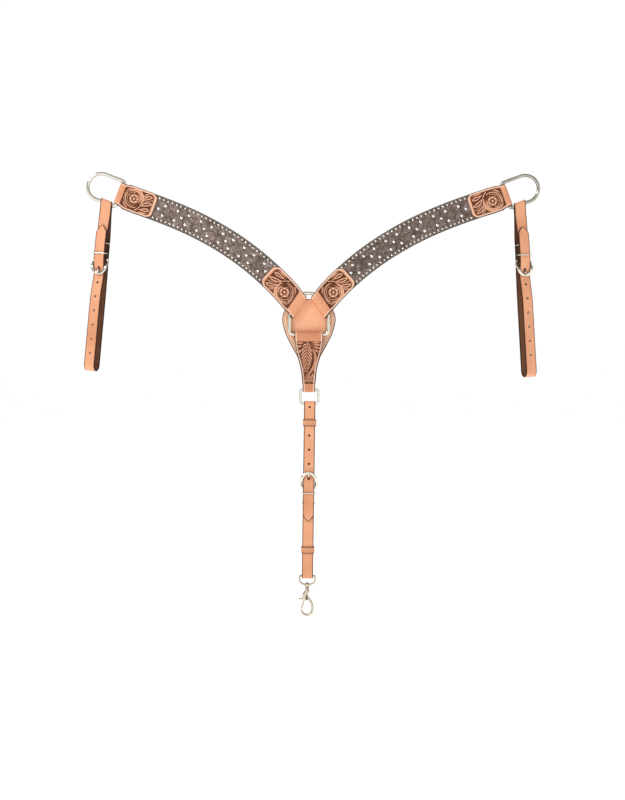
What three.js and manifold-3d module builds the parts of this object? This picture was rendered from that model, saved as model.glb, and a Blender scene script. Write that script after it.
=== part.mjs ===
// A western breast collar (breastplate) for a horse, hanging by its centre ring as it is worn.
// Millimetres, +Z up, -Y towards the viewer in front of the horse, +X to the viewer's right.
// The origin is the middle of the centre ring's top bar.
import * as THREE from 'three';
import { mergeVertices } from 'three/addons/utils/BufferGeometryUtils.js';
import Module from 'manifold-3d';

const wasm = await Module();
wasm.setup();

// ---------------------------------------------------------------- driving dimensions
const GAP = 0.35; // clear space between neighbouring pieces
const FACETS = 8; // sides of a round wire
const STEP = 16; // longest straight stretch of a strap between two stations

const RING = { wire: 4, topHalf: 10, shoulder: [43.5, -50], bottom: -92, corner: 6, foot: 9 };

const YOKE = { width: 58, lining: 2.8, overlay: 1.6, inset: 1.2, end: 13 };
// Each side's strap runs on one curve from the ring to its dee. The dee is given by the middle of its
// bar, slopes are in degrees above level, and reach is how far each end keeps its direction. A front is
// how far that chape's front leg runs on from its bar.
const SIDES = {
  left: { sign: -1, dee: [-422, 221.7], ringSlope: 51, ringReach: 232, deeSlope: 25, deeReach: 80,
    deeTilt: 21, ringFront: 96.5, deeFront: 82.5, tugLean: 5.2, tugLength: 377 },
  right: { sign: 1, dee: [441, 218.5], ringSlope: 51, ringReach: 221, deeSlope: 20, deeReach: 83,
    deeTilt: 20, ringFront: 92, deeFront: 85.5, tugLean: 3.2, tugLength: 386 },
};
// A chape folds round its bar: bore and reach are the fold's inner half height and length, and back is how
// far its back leg runs on from the bar.
const CHAPE = {
  thickness: 2.6,
  ring: { bore: 6.2, reach: 8.7, half: 27, back: 58, corner: 17 },
  dee: { bore: 5.2, reach: 5.2, half: 25, back: 52, corner: 15 },
};
const CHAPE_WIDENS = 24; // distance from the bar over which a chape reaches the strap's full width
const CHAPE_LEVEL = 22; // distance from the bar at which its legs lie flat on the strap
const DEE = { wire: 3.9, half: 30, leg: 46, corner: 6, hang: 22 };

const DROP = { length: 124, thickness: 2.6, ringFold: 6, deeFold: 4.2, leg: 3.3, level: 12, hem: 38 };
const DROP_WIDTHS = [[-10, 32.5], [12, 31.8], [36, 28], [58, 22.3], [78, 17.6], [98, 14.8], [116, 14],
  [136, 14]]; // [distance down from the ring's foot, half width]
const BACKER = { thickness: 3.2, depth: 10.8 };
const SMALL_DEE = { wire: 2.5, half: 20, depth: 31.6, corner: 4, round: 7, x: 1 };

const STRAP = { width: 25.4, thickness: 3.4, holePitch: 31.75, hole: 2.2, tip: 75, tipTaper: 16 };
const TUG_HOLES = 6;
const CENTRE_HOLES = 5;
const HEEL_TO_EYE = 197.5;
const HEEL_TO_SMALL_DEE = 187.4;
const TUG_HEEL = 125.5;
const TUG_LOOP = 13;
const TUG_TWIST = 16;
const TUG_SKEW = [48, 10]; // distances below the dee's leg between which a tug takes up the leg's slope
const TUG_UNTWIST = { above: 50, below: 12 }; // above the buckle, below the leg: the turn runs out between

const BUCKLE = { heel: 2.3, heelDepth: -2.1, face: -10.5, half: 17, toe: 33, flat: 12, band: 3.25, thick: 2 };
const TONGUE = { wire: 1.7, width: 1.9, hole: 21.5, slot: 9.6, play: 0.3 };
const TONGUE_BLADE = [[-2.2, -3.5], [-8, -3.5], [-14, -3.5], [-18, -4], [-21, -7.5], [-24, -11.3],
  [-27, -13.6], [-30.5, -14.6], [-36.4, -14.5]]; // [height, depth] along the middle, from the eye to the end
const KEEPER = { wire: 1.5, at: 12, half: 14.7, front: -16.5, back: -2.85 };
const CHAPE_LOOP = { wire: 1.2, at: 35, half: 14.4, front: -9.85, back: 5.65 };
const LEATHER_KEEPER = { height: 15, thickness: 2, half: 14.1, depth: 8.1, corner: 2.6, upper: -145,
  lower: 139.5 };

const CENTRE_STRAP = { heel: [-0.6, -435], lean: 0.8 };
const SNAP = { wire: 2.5, half: 17.5, boss: -21, bossRadius: 6, shank: 2.4, collar: 5.6, collarTop: -31.5,
  block: [-11, 3.5, -36, -55.5], slot: 2.45, hook: -75.5, ring: 12.4, bar: 3.1, nose: 190, pivot: [-6, -50] };

// ---------------------------------------------------------------- materials
const material = (color, roughness, metalness) =>
  new THREE.MeshStandardMaterial({ color, roughness, metalness });
const LEATHER = material(0xe6ac82, 0.6, 0);
const TOOLED = material(0xc98a62, 0.65, 0);
const PRINTED = material(0x6e665f, 0.8, 0);
const LINING = material(0xb98866, 0.7, 0);
const NICKEL = material(0xcfc9be, 0.28, 1);
const STEEL = material(0xa8a49c, 0.35, 1);

// ---------------------------------------------------------------- shape helpers
const v2 = (x, y) => new THREE.Vector2(x, y);
const v3 = (x, y, z) => new THREE.Vector3(x, y, z);
const degrees = THREE.MathUtils.degToRad;
const blend = THREE.MathUtils.smoothstep;

/** Reverses the triangles of a closed mesh that faces inwards. */
function facingOut(geometry) {
  const p = geometry.attributes.position;
  const index = geometry.index.array;
  const [a, b, c] = [v3(), v3(), v3()];
  let volume = 0;
  for (let i = 0; i < index.length; i += 3) {
    a.fromBufferAttribute(p, index[i]);
    b.fromBufferAttribute(p, index[i + 1]);
    c.fromBufferAttribute(p, index[i + 2]);
    volume += a.dot(b.cross(c));
  }
  if (volume < 0) geometry.setIndex([...index].reverse());
  return geometry;
}

/** Skins a row of equal rings of points; an open row gets a flat cap on each end. */
function loft(sections, closed = false) {
  const n = sections[0].length;
  const rows = sections.length;
  const index = [];
  for (let i = 0; i < (closed ? rows : rows - 1); i++) {
    const a = i * n;
    const b = ((i + 1) % rows) * n;
    for (let j = 0; j < n; j++) {
      const k = (j + 1) % n;
      index.push(a + j, b + j, b + k, a + j, b + k, a + k);
    }
  }
  const last = (rows - 1) * n;
  for (let j = 1; !closed && j < n - 1; j++) {
    index.push(0, j, j + 1, last, last + j + 1, last + j);
  }
  const geometry = new THREE.BufferGeometry();
  const positions = sections.flat().flatMap((p) => [p.x, p.y, p.z]);
  geometry.setAttribute('position', new THREE.Float32BufferAttribute(positions, 3));
  geometry.setIndex(index);
  return facingOut(geometry);
}

/** Adds points so that no stretch of a line is longer than STEP. */
function subdivide(line) {
  const points = [line[0].clone()];
  for (let i = 1; i < line.length; i++) {
    const pieces = Math.ceil(line[i].distanceTo(line[i - 1]) / STEP - 1e-6);
    for (let k = 1; k <= pieces; k++) points.push(line[i - 1].clone().lerp(line[i], k / pieces));
  }
  return points;
}

/** Leather of even thickness along a middle line. A line point is (along, depth), half gives the half
 * width there, and place puts (along, depth, across) into space. */
function strip(line, thickness, half, place) {
  const sections = line.map((point, i) => {
    const before = line[Math.max(i - 1, 0)];
    const after = line[Math.min(i + 1, line.length - 1)];
    const along = after.clone().sub(before).normalize();
    const normal = v2(-along.y, along.x).multiplyScalar(thickness / 2);
    const front = point.clone().sub(normal);
    const back = point.clone().add(normal);
    const h = half(point, i);
    return [place(front, -h), place(front, h), place(back, h), place(back, -h)];
  });
  return loft(sections);
}

/** Points round a closed outline of [x, z, corner radius]. */
function roundedOutline(corners, arcSteps = 5) {
  const points = [];
  corners.forEach(([x, z, radius], i) => {
    const here = v2(x, z);
    const [px, pz] = corners.at(i - 1);
    const [nx, nz] = corners[(i + 1) % corners.length];
    const back = v2(px, pz).sub(here).normalize();
    const forward = v2(nx, nz).sub(here).normalize();
    const halfAngle = Math.acos(THREE.MathUtils.clamp(back.dot(forward), -1, 1)) / 2;
    const centre = here.clone().add(back.clone().add(forward).normalize()
      .multiplyScalar(radius / Math.sin(halfAngle)));
    const tangent = radius / Math.tan(halfAngle);
    const from = here.clone().addScaledVector(back, tangent).sub(centre).angle();
    let turn = here.clone().addScaledVector(forward, tangent).sub(centre).angle() - from;
    if (turn > Math.PI) turn -= 2 * Math.PI;
    if (turn < -Math.PI) turn += 2 * Math.PI;
    for (let k = 0; k <= arcSteps; k++) {
      const angle = from + (turn * k) / arcSteps;
      const point = v2(centre.x + radius * Math.cos(angle), centre.y + radius * Math.sin(angle));
      if (!points.length || point.distanceTo(points.at(-1)) > 0.01) points.push(point);
    }
  });
  return points;
}

/** Round bar along a line of points, all in a plane with the given normal. A closed line meets itself.
 * thick(i) gives the half sizes [in the plane, across the plane] at point i. */
function bar(points, planeNormal, thick, closed = false) {
  const sections = points.map((point, i) => {
    const before = closed ? points.at(i - 1) : points[Math.max(i - 1, 0)];
    const after = closed ? points[(i + 1) % points.length] : points[Math.min(i + 1, points.length - 1)];
    const along = after.clone().sub(before).normalize();
    const side = along.clone().cross(planeNormal).normalize();
    const up = side.clone().cross(along).normalize();
    const [inPlane, across] = thick(i);
    return Array.from({ length: FACETS }, (_, k) => {
      const angle = (2 * Math.PI * (k + 0.5)) / FACETS;
      return point.clone().addScaledVector(side, inPlane * Math.cos(angle))
        .addScaledVector(up, across * Math.sin(angle));
    });
  });
  return loft(sections, closed);
}

const DEPTH_AXIS = v3(0, 1, 0);

/** Closed wire ring in the XZ plane through the given outline. */
function wireRing(outline, radius) {
  const points = outline.map((p) => v3(p.x, 0, p.y));
  return bar(points, DEPTH_AXIS, () => [radius, radius], true);
}

function solid(geometry) {
  const bare = geometry.clone();
  bare.deleteAttribute('normal');
  bare.deleteAttribute('uv');
  const merged = mergeVertices(bare, 1e-4);
  const vertProperties = new Float32Array(merged.attributes.position.array);
  const triVerts = new Uint32Array(merged.index.array);
  return new wasm.Manifold(new wasm.Mesh({ numProp: 3, vertProperties, triVerts }));
}

function surface(manifold) {
  const mesh = manifold.getMesh();
  const geometry = new THREE.BufferGeometry();
  geometry.setAttribute('position', new THREE.Float32BufferAttribute(mesh.vertProperties, 3));
  geometry.setIndex([...mesh.triVerts]);
  return geometry;
}

/** First geometry with the others joined on. */
const join = (first, ...others) =>
  surface(others.reduce((whole, other) => whole.add(solid(other)), solid(first)));

/** First geometry with the others cut away. */
const cut = (first, ...others) =>
  surface(others.reduce((whole, other) => whole.subtract(solid(other)), solid(first)));

/** Cylinder with its axis along Y. */
function post(radius, length, x, y, z, sides = 12) {
  return new THREE.CylinderGeometry(radius, radius, length, sides).translate(x, y, z);
}

function named(name, geometry, look) {
  const mesh = new THREE.Mesh(geometry, look);
  mesh.name = name;
  return mesh;
}

// ---------------------------------------------------------------- centre ring
function centreRing() {
  const [shoulderX, shoulderZ] = RING.shoulder;
  const right = [
    [RING.topHalf, 0, RING.corner],
    [shoulderX, shoulderZ, RING.corner],
    [shoulderX, RING.bottom, RING.foot],
  ];
  const left = right.map(([x, z, r]) => [-x, z, r]).reverse();
  return named('centre_ring', wireRing(roundedOutline([...right, ...left]), RING.wire), NICKEL);
}

// ---------------------------------------------------------------- yoke straps
/** Where a side's strap lies: its curve, and place(along, depth; across) for leather on it. */
function yokeCourse(side) {
  const { sign, dee, ringSlope, ringReach, deeSlope, deeReach, deeTilt } = side;
  const [shoulderX, shoulderZ] = RING.shoulder;
  const start = v2((sign * (RING.topHalf + shoulderX)) / 2, shoulderZ / 2);
  const end = v2(...dee);
  const towards = (slope) => v2(sign * Math.cos(degrees(slope)), Math.sin(degrees(slope)));
  const curve = new THREE.CubicBezierCurve(
    start,
    start.clone().addScaledVector(towards(ringSlope), ringReach),
    end.clone().addScaledVector(towards(deeSlope), -deeReach),
    end,
  );
  curve.arcLengthDivisions = 400;
  const length = curve.getLength();
  const ringRow = v2(shoulderX - RING.topHalf, sign * shoulderZ).normalize();
  const deeRow = towards(deeTilt + 90);
  const place = (point, across) => {
    const u = THREE.MathUtils.clamp(point.x / length, 0, 1);
    const tangent = curve.getTangentAt(u);
    const centre = curve.getPointAt(u).addScaledVector(tangent, point.x - u * length);
    const square = v2(-tangent.y, tangent.x);
    const atRing = ringRow.clone().multiplyScalar(Math.sign(ringRow.dot(square)));
    const atDee = deeRow.clone().multiplyScalar(Math.sign(deeRow.dot(square)));
    const row = square.clone()
      .lerp(atRing, 1 - blend(point.x, 8, 48))
      .lerp(atDee, blend(point.x, length - 48, length - 8))
      .normalize();
    row.multiplyScalar(across / row.dot(square));
    return v3(centre.x + row.x, point.y, centre.y + row.y);
  };
  return { length, place };
}

const OVERLAY_FRONT = -GAP / 2 - YOKE.overlay;
const LINING_BACK = GAP / 2 + YOKE.lining;

function yokeLayer(course, depth, thickness, inset) {
  const line = subdivide([v2(YOKE.end, depth), v2(course.length - YOKE.end, depth)]);
  return strip(line, thickness, () => YOKE.width / 2 - inset, course.place);
}

/** Chape folded round a bar at along = 0: front leg, fold, back leg. */
function chapeLine(size) {
  const fold = size.bore + CHAPE.thickness / 2;
  const reach = size.reach + CHAPE.thickness / 2;
  const front = OVERLAY_FRONT - GAP - CHAPE.thickness / 2;
  const back = LINING_BACK + GAP + CHAPE.thickness / 2;
  const bend = CHAPE_LEVEL / 2;
  const path = new THREE.Path();
  path.moveTo(size.front, front);
  path.lineTo(CHAPE_LEVEL, front);
  path.bezierCurveTo(bend, front, bend, -fold, 0, -fold);
  path.absellipse(0, 0, reach, fold, -Math.PI / 2, Math.PI / 2, true);
  path.bezierCurveTo(bend, fold, bend, back, CHAPE_LEVEL, back);
  path.lineTo(size.back, back);
  return path.getPoints(8);
}

const CORNER_SHARES = [0, 0.12, 0.3, 0.5, 0.75]; // stations along a rounded corner, as shares of its radius

/** Line of a chape with its stations closer together where its front end is rounded. */
function roundedEnd(line, size) {
  const [first, second] = line;
  const dense = CORNER_SHARES.map((share) => v2(first.x - size.corner * share, first.y));
  const rest = subdivide([v2(first.x - size.corner, first.y), second, ...line.slice(2)]);
  return [...dense, ...rest];
}

function chape(course, size, fromDee) {
  const line = roundedEnd(chapeLine(size), size);
  const roundness = 0.98; // under 1, so that the end keeps a flat a little wider than nothing
  const half = (point, i) => {
    const full = THREE.MathUtils.lerp(size.half, YOKE.width / 2, blend(point.x, 0, CHAPE_WIDENS));
    const intoCorner = point.x - (size.front - size.corner);
    if (i >= CORNER_SHARES.length || intoCorner <= 0) return full;
    return full - roundness * (size.corner - Math.sqrt(size.corner ** 2 - intoCorner ** 2));
  };
  const place = fromDee
    ? (point, across) => course.place(v2(course.length - point.x, point.y), across)
    : course.place;
  return strip(line, CHAPE.thickness, half, place);
}

function yoke(name, side) {
  const course = yokeCourse(side);
  const group = new THREE.Group();
  const liningDepth = (GAP + YOKE.lining) / 2;
  const overlayDepth = -(GAP + YOKE.overlay) / 2;
  group.add(
    named(`${name}_yoke_lining`, yokeLayer(course, liningDepth, YOKE.lining, 0), LINING),
    named(`${name}_yoke_overlay`, yokeLayer(course, overlayDepth, YOKE.overlay, YOKE.inset), PRINTED),
    named(`${name}_ring_chape`, chape(course, { ...CHAPE.ring, front: side.ringFront }, false), TOOLED),
    named(`${name}_dee_chape`, chape(course, { ...CHAPE.dee, front: side.deeFront }, true), TOOLED),
  );
  return group;
}

// ---------------------------------------------------------------- dees
/** Dee with its bar through the origin and its round end along +X before it is turned into place. */
function dee(name, side) {
  const outline = roundedOutline([
    [0, DEE.half, DEE.corner],
    [0, -DEE.half, DEE.corner],
    [DEE.leg + DEE.half, -DEE.half, DEE.half],
    [DEE.leg + DEE.half, DEE.half, DEE.half],
  ], 9);
  const mesh = named(`${name}_dee`, wireRing(outline, DEE.wire), NICKEL);
  const [x, z] = side.dee;
  mesh.position.set(x, 0, z);
  mesh.rotation.y = side.sign > 0 ? -degrees(side.deeTilt) : Math.PI + degrees(side.deeTilt);
  return mesh;
}

/** Point on a dee's lower leg that its tug strap hangs from, and that leg's slope in degrees. */
function hangPoint(side) {
  const tilt = degrees(side.deeTilt);
  const [x, z] = side.dee;
  const out = DEE.hang * Math.cos(tilt) + DEE.half * Math.sin(tilt);
  return v2(x + side.sign * out, z + DEE.hang * Math.sin(tilt) - DEE.half * Math.cos(tilt));
}

// ---------------------------------------------------------------- buckled strap
// Local frame of a buckled strap: heel bar of the buckle at z = 0, toe at -z, front face at -y.
// One strap starts folded round the heel bar, runs up to the upper wire, over it and down the back,
// round the lower bend and up the front as the billet, through the buckle to its tip.
function buckledLine(upper, upperFold, lower, lowerFold) {
  const fold = BUCKLE.heel + GAP + STRAP.thickness / 2;
  const front = BUCKLE.heelDepth - fold;
  const behind = BUCKLE.heelDepth + fold;
  const path = new THREE.Path();
  path.moveTo(45, behind);
  path.lineTo(0, behind);
  path.absarc(0, BUCKLE.heelDepth, fold, Math.PI / 2, 1.5 * Math.PI, false);
  path.lineTo(48, front);
  path.bezierCurveTo(62, front, 70, -upperFold, 90, -upperFold);
  path.lineTo(upper, -upperFold);
  path.absarc(upper, 0, upperFold, -Math.PI / 2, Math.PI / 2, false);
  path.lineTo(105, upperFold);
  path.bezierCurveTo(78, upperFold, 62, 9.4, 35, 9.4);
  path.bezierCurveTo(-10, 9.4, -20, lowerFold, -100, lowerFold);
  path.lineTo(-lower, lowerFold);
  path.absarc(-lower, 0, lowerFold, Math.PI / 2, 1.5 * Math.PI, false);
  path.lineTo(-100, -lowerFold);
  path.bezierCurveTo(-70, -lowerFold, -50, -5.2, -29, -5.2);
  path.bezierCurveTo(-20, -5.6, -16, -12.4, 12, -13);
  path.bezierCurveTo(35, -13, 50, -12.2, STRAP.tip, -11.8);
  return path.getPoints(6);
}

const TIP_POINTS = 12; // the billet's tip lies within this many points of the line's end

/** Half width of a strap, which narrows to a blunt point at the end of the billet. */
function tipHalf(line) {
  const bluntness = 1.5; // how far past the tip the sides would meet
  const bow = 1.7; // 1 gives straight sides, 2 bows them out
  const full = STRAP.width / 2;
  return (point, i) => {
    const past = point.x - (STRAP.tip - STRAP.tipTaper);
    if (i < line.length - TIP_POINTS || past <= 0) return full;
    return full * (1 - (past / (STRAP.tipTaper + bluntness)) ** bow);
  };
}

/** Posts that punch the billet's holes; its front run lies between y = 0 and y = -18. */
function strapHoles(count) {
  const at = (k) => -TONGUE.hole - (k + 1) * STRAP.holePitch;
  return Array.from({ length: count }, (_, k) => post(STRAP.hole, 24, 0, -12, at(k), 8));
}

/** Cuts for the tongue: its hole in the billet, and a slot where the chape folds round the heel bar. */
function tongueCuts() {
  const wide = 2 * (TONGUE.width + 2 * TONGUE.play);
  const chapeDeep = 2 * (BUCKLE.heel + STRAP.thickness + TONGUE.play);
  const billetHole = new THREE.BoxGeometry(wide, 10, TONGUE.slot).translate(0, -9.6, -TONGUE.hole);
  const chapeSlot = new THREE.BoxGeometry(wide, chapeDeep, 17).translate(0, BUCKLE.heelDepth, 0);
  return [billetHole, chapeSlot];
}

function buckledStrap(name, course, holeCount) {
  const line = subdivide(buckledLine(course.upper, course.upperFold, course.lower, course.lowerFold));
  const strap = strip(line, STRAP.thickness, tipHalf(line), course.place);
  return named(name, cut(strap, ...strapHoles(holeCount), ...tongueCuts()), LEATHER);
}

// ---------------------------------------------------------------- buckle
/** Cast frame: a flat band round the toe and sides that runs back into a round heel bar. */
function buckleFrame(name) {
  const { half, flat, toe } = BUCKLE;
  const round = new THREE.EllipseCurve(0, -flat, half, toe - flat, Math.PI, 2 * Math.PI).getPoints(16);
  const heel = [[16.8, -6], [15.8, -1.5], [13.6, 0], [5, 0]].map(([x, z]) => v2(x, z));
  const otherHeel = heel.map((p) => v2(-p.x, p.y)).reverse();
  const outline = [...round, ...heel, ...otherHeel];
  const points = outline.map((p) => {
    const back = blend(p.y, -22, -1);
    return v3(p.x, THREE.MathUtils.lerp(BUCKLE.face, BUCKLE.heelDepth, back), p.y);
  });
  const thick = (i) => {
    const isBar = Math.abs(points[i].x) < 14 && points[i].z > -1;
    const band = BUCKLE.band - 0.25 * blend(points[i].z, -8, -2);
    return isBar ? [BUCKLE.heel, BUCKLE.heel] : [band, BUCKLE.thick];
  };
  return named(name, bar(points, DEPTH_AXIS, thick, true), NICKEL);
}

/** Tongue: an eye round the heel bar and a blade that passes the billet and lies on the toe. */
function tongue(name) {
  const inner = BUCKLE.heel + TONGUE.play;
  const outer = inner + 1.6;
  const wide = TONGUE.width;
  const eye = new THREE.LatheGeometry(
    [v2(inner, -wide), v2(outer, -wide), v2(outer, wide), v2(inner, wide), v2(inner, -wide)], 16);
  eye.rotateZ(Math.PI / 2).translate(0, BUCKLE.heelDepth, 0);
  const points = TONGUE_BLADE.map(([z, y]) => v3(0, y, z));
  const wire = bar(points, v3(1, 0, 0), () => [TONGUE.wire, wide]);
  return named(name, join(eye, wire), NICKEL);
}

/** Rectangular wire loop round the strap, level at a height along it. */
function wireLoop(name, loop) {
  const outline = roundedOutline([
    [loop.half, loop.front, 2.2], [loop.half, loop.back, 2.2],
    [-loop.half, loop.back, 2.2], [-loop.half, loop.front, 2.2]], 3);
  const points = outline.map((p) => v3(p.x, p.y, loop.at));
  return named(name, bar(points, v3(0, 0, 1), () => [loop.wire, loop.wire], true), NICKEL);
}

function buckleSet(name) {
  const group = new THREE.Group();
  group.add(
    buckleFrame(`${name}_buckle_frame`),
    tongue(`${name}_buckle_tongue`),
    wireLoop(`${name}_wire_keeper`, KEEPER),
    wireLoop(`${name}_chape_loop`, CHAPE_LOOP),
  );
  return group;
}

// ---------------------------------------------------------------- tugs
/** The tug hangs skewed on its dee's sloping leg and turns a little on the way down. */
function tug(name, side) {
  const hang = hangPoint(side);
  const lean = degrees(side.tugLean);
  const skew = side.sign * Math.tan(degrees(side.deeTilt - side.tugLean));
  const lower = side.tugLength - TUG_HEEL - TUG_LOOP - STRAP.thickness / 2;
  const turn = degrees(TUG_TWIST) * side.sign;
  const place = (point, across) => {
    const nearDee = blend(point.x, TUG_HEEL - TUG_SKEW[0], TUG_HEEL - TUG_SKEW[1]);
    const untwist = turn * blend(point.x, TUG_UNTWIST.above, TUG_HEEL - TUG_UNTWIST.below);
    const placed = v3(across, point.y, point.x + across * skew * nearDee);
    return placed.applyAxisAngle(v3(0, 0, 1), -untwist);
  };
  const upperFold = DEE.wire + 0.8 + STRAP.thickness / 2;
  const course = { upper: TUG_HEEL, upperFold, lower, lowerFold: TUG_LOOP, place };
  const twisted = new THREE.Group();
  twisted.rotation.z = turn;
  twisted.add(buckledStrap(`${name}_tug_strap`, course, TUG_HOLES), buckleSet(`${name}_tug`));
  const group = new THREE.Group();
  group.rotation.y = side.sign > 0 ? -lean : lean;
  group.position.set(hang.x + side.sign * Math.sin(lean) * TUG_HEEL, 0, hang.y - Math.cos(lean) * TUG_HEEL);
  group.add(twisted);
  return group;
}

// ---------------------------------------------------------------- centre drop
const dropPlace = (point, across) => v3(across, point.y, RING.bottom - point.x);

function dropFront() {
  const { length, ringFold, deeFold, leg, level, hem } = DROP;
  const flatEnd = length - level;
  const [outer, inner] = [length - 8, length - 6];
  const path = new THREE.Path();
  path.moveTo(30, 0.2);
  path.bezierCurveTo(18, 0.2, 14, ringFold, 0, ringFold);
  path.absarc(0, 0, ringFold, Math.PI / 2, 1.5 * Math.PI, false);
  path.bezierCurveTo(16, -ringFold, 22, -leg, 40, -leg);
  path.lineTo(flatEnd, -leg);
  path.bezierCurveTo(outer, -leg, inner, -deeFold, length, -deeFold);
  path.absarc(length, 0, deeFold, -Math.PI / 2, Math.PI / 2, false);
  path.bezierCurveTo(inner, deeFold, outer, leg, flatEnd, leg);
  path.lineTo(length - hem, leg);
  const table = new THREE.SplineCurve(DROP_WIDTHS.map(([down, wide]) => v2(down, wide))).getPoints(60);
  const half = (point) => (table.find((w) => w.x >= point.x) ?? table.at(-1)).y;
  return named('drop_front', strip(subdivide(path.getPoints(8)), DROP.thickness, half, dropPlace), TOOLED);
}

/** Spoon-shaped backing behind the ring. A curve point is (down from the ring's foot, depth, half width). */
function ringBacker() {
  const { depth } = BACKER;
  const curve = new THREE.CatmullRomCurve3([
    v3(-80, depth, 8), v3(-79, depth, 22), v3(-72, depth, 38), v3(-58, depth, 53), v3(-40, depth, 59.6),
    v3(-24, depth, 59), v3(0, depth, 52), v3(14, depth * 0.94, 45), v3(30, depth * 0.55, 37),
    v3(44, depth * 0.15, 29), v3(54, 0, 24.5), v3(80, 0, 18), v3(112, 0, 14.4)]);
  const stations = curve.getPoints(36);
  const line = stations.map((p) => v2(p.x, p.y));
  return named('ring_backer', strip(line, BACKER.thickness, (_, i) => stations[i].z, dropPlace), LINING);
}

function smallDee() {
  const top = RING.bottom - DROP.length;
  const { half, depth, corner, round, x } = SMALL_DEE;
  const outline = roundedOutline([
    [x + half, top, corner], [x + half, top - depth, round],
    [x - half, top - depth, round], [x - half, top, corner]]);
  return named('drop_dee', wireRing(outline, SMALL_DEE.wire), NICKEL);
}

// ---------------------------------------------------------------- centre strap and snap
function leatherKeeper(name, at) {
  const { half, depth, height, thickness, corner } = LEATHER_KEEPER;
  const corners = [[half, -depth], [half, depth], [-half, depth], [-half, -depth]];
  const outline = roundedOutline(corners.map(([x, y]) => [x, y, corner]), 4);
  const sections = outline.map((p, i) => {
    const before = outline.at(i - 1);
    const after = outline[(i + 1) % outline.length];
    const along = after.clone().sub(before).normalize();
    const out = v2(along.y, -along.x).multiplyScalar(thickness / 2);
    return [[out, 1], [out, -1], [out.clone().negate(), -1], [out.clone().negate(), 1]]
      .map(([o, up]) => v3(p.x + o.x, p.y + o.y, at + (up * height) / 2));
  });
  return named(name, loft(sections, true), LEATHER);
}

function centreStrap() {
  const place = (point, across) => v3(across, point.y, point.x);
  const wireFold = SMALL_DEE.wire + 0.6 + STRAP.thickness / 2;
  const eyeFold = SNAP.wire + 0.6 + STRAP.thickness / 2;
  const [upper, lower] = [HEEL_TO_EYE, HEEL_TO_SMALL_DEE];
  const course = { upper, upperFold: eyeFold, lower, lowerFold: wireFold, place };
  const group = new THREE.Group();
  const [x, z] = CENTRE_STRAP.heel;
  group.position.set(x, 0, z);
  group.rotation.y = Math.PI + degrees(CENTRE_STRAP.lean);
  group.add(
    buckledStrap('centre_strap', course, CENTRE_HOLES),
    buckleSet('centre'),
    leatherKeeper('centre_keeper_upper', LEATHER_KEEPER.upper),
    leatherKeeper('centre_keeper_lower', LEATHER_KEEPER.lower),
  );
  return group;
}

/** Upright cylinder from z = low to z = high. */
function upright(radius, low, high, sides = 16) {
  const cylinder = new THREE.CylinderGeometry(radius, radius, high - low, sides);
  return cylinder.rotateX(Math.PI / 2).translate(0, 0, (low + high) / 2);
}

/** Swivel eye: a loop for the strap with a drilled boss at its foot. */
function snapEye() {
  const { wire, half, boss, bossRadius, shank } = SNAP;
  const outline = roundedOutline([[half, 0, 4], [half - 2, -12, 8], [4, boss, 2], [-4, boss, 2],
    [2 - half, -12, 8], [-half, 0, 4]]);
  const bossTop = boss + 3.8;
  const body = join(wireRing(outline, wire), upright(bossRadius, boss - 3.8, bossTop));
  const drill = upright(shank + 0.5, boss - 10, boss + 6);
  const seat = upright(bossRadius - 1, bossTop, bossTop + 6);
  return named('snap_eye', cut(body, drill, seat), STEEL);
}

/** Shank, collar, forked block and open hook of the snap, cast in one. */
function snapBody() {
  const { boss, shank, collar, collarTop, block, slot, hook, ring, nose, pivot } = SNAP;
  const headFoot = boss + 3.8 + GAP;
  const [left, right, top, foot] = block;
  const fork = new THREE.BoxGeometry(right - left, 9.2, top - foot)
    .translate((left + right) / 2, 0, (top + foot) / 2);
  const spine = [[1, -50], [6, -54], [10, -60], [12, -67]].map(([x, z]) => v3(x, 0, z));
  const turns = 16;
  for (let k = 0; k <= turns; k++) {
    const angle = degrees(THREE.MathUtils.lerp(10, nose - 360, k / turns));
    spine.push(v3(ring * Math.cos(angle), 0, hook + ring * Math.sin(angle)));
  }
  const hooked = bar(spine, DEPTH_AXIS, () => [SNAP.bar, SNAP.bar + 0.4]);
  const body = join(upright(shank, collarTop - 1, headFoot + 1), upright(4.2, headFoot, headFoot + 2.2),
    upright(collar, top - 1, collarTop), fork, hooked);
  const forkSlot = new THREE.BoxGeometry(13.5, 2 * slot, 22).translate(left + 5.75, 0, -52);
  return named('snap_body', cut(body, forkSlot, post(1.75, 20, pivot[0], 0, pivot[1])), STEEL);
}

/** Trigger: thumb tab and gate, turning on the pin in the fork. */
function snapTrigger() {
  const [x, z] = SNAP.pivot;
  const size = () => [2, 2.05];
  const gateEnd = SNAP.hook + 2.6;
  const gate = bar([v3(x, 0, z + 1.8), v3(x - 1.5, 0, z - 9), v3(-SNAP.ring, 0, gateEnd)], DEPTH_AXIS, size);
  const thumb = bar([v3(x, 0, z), v3(x - 6, 0, z - 1.5), v3(x - 12.4, 0, z - 3)], DEPTH_AXIS, size);
  const hub = post(3, 4.1, x, 0, z);
  return named('snap_trigger', cut(join(gate, thumb, hub), post(1.75, 20, x, 0, z)), STEEL);
}

function snapPin() {
  return named('snap_pin', post(1.45, 9.8, SNAP.pivot[0], 0, SNAP.pivot[1]), NICKEL);
}

/** Coil spring between the gate and the fork's inner wall. */
class Helix extends THREE.Curve {
  getPoint(t, target = v3()) {
    const angle = 2 * Math.PI * 3 * t;
    return target.set(-2.4 + 3.4 * t, 1.3 * Math.cos(angle), -54.4 + 1.3 * Math.sin(angle));
  }
}

function snapSpring() {
  const section = new THREE.Shape().absarc(0, 0, 0.35, 0, 2 * Math.PI);
  const coil = new THREE.ExtrudeGeometry(section, { steps: 24, curveSegments: 3, extrudePath: new Helix() });
  return named('snap_spring', surface(solid(coil)), STEEL);
}

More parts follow.
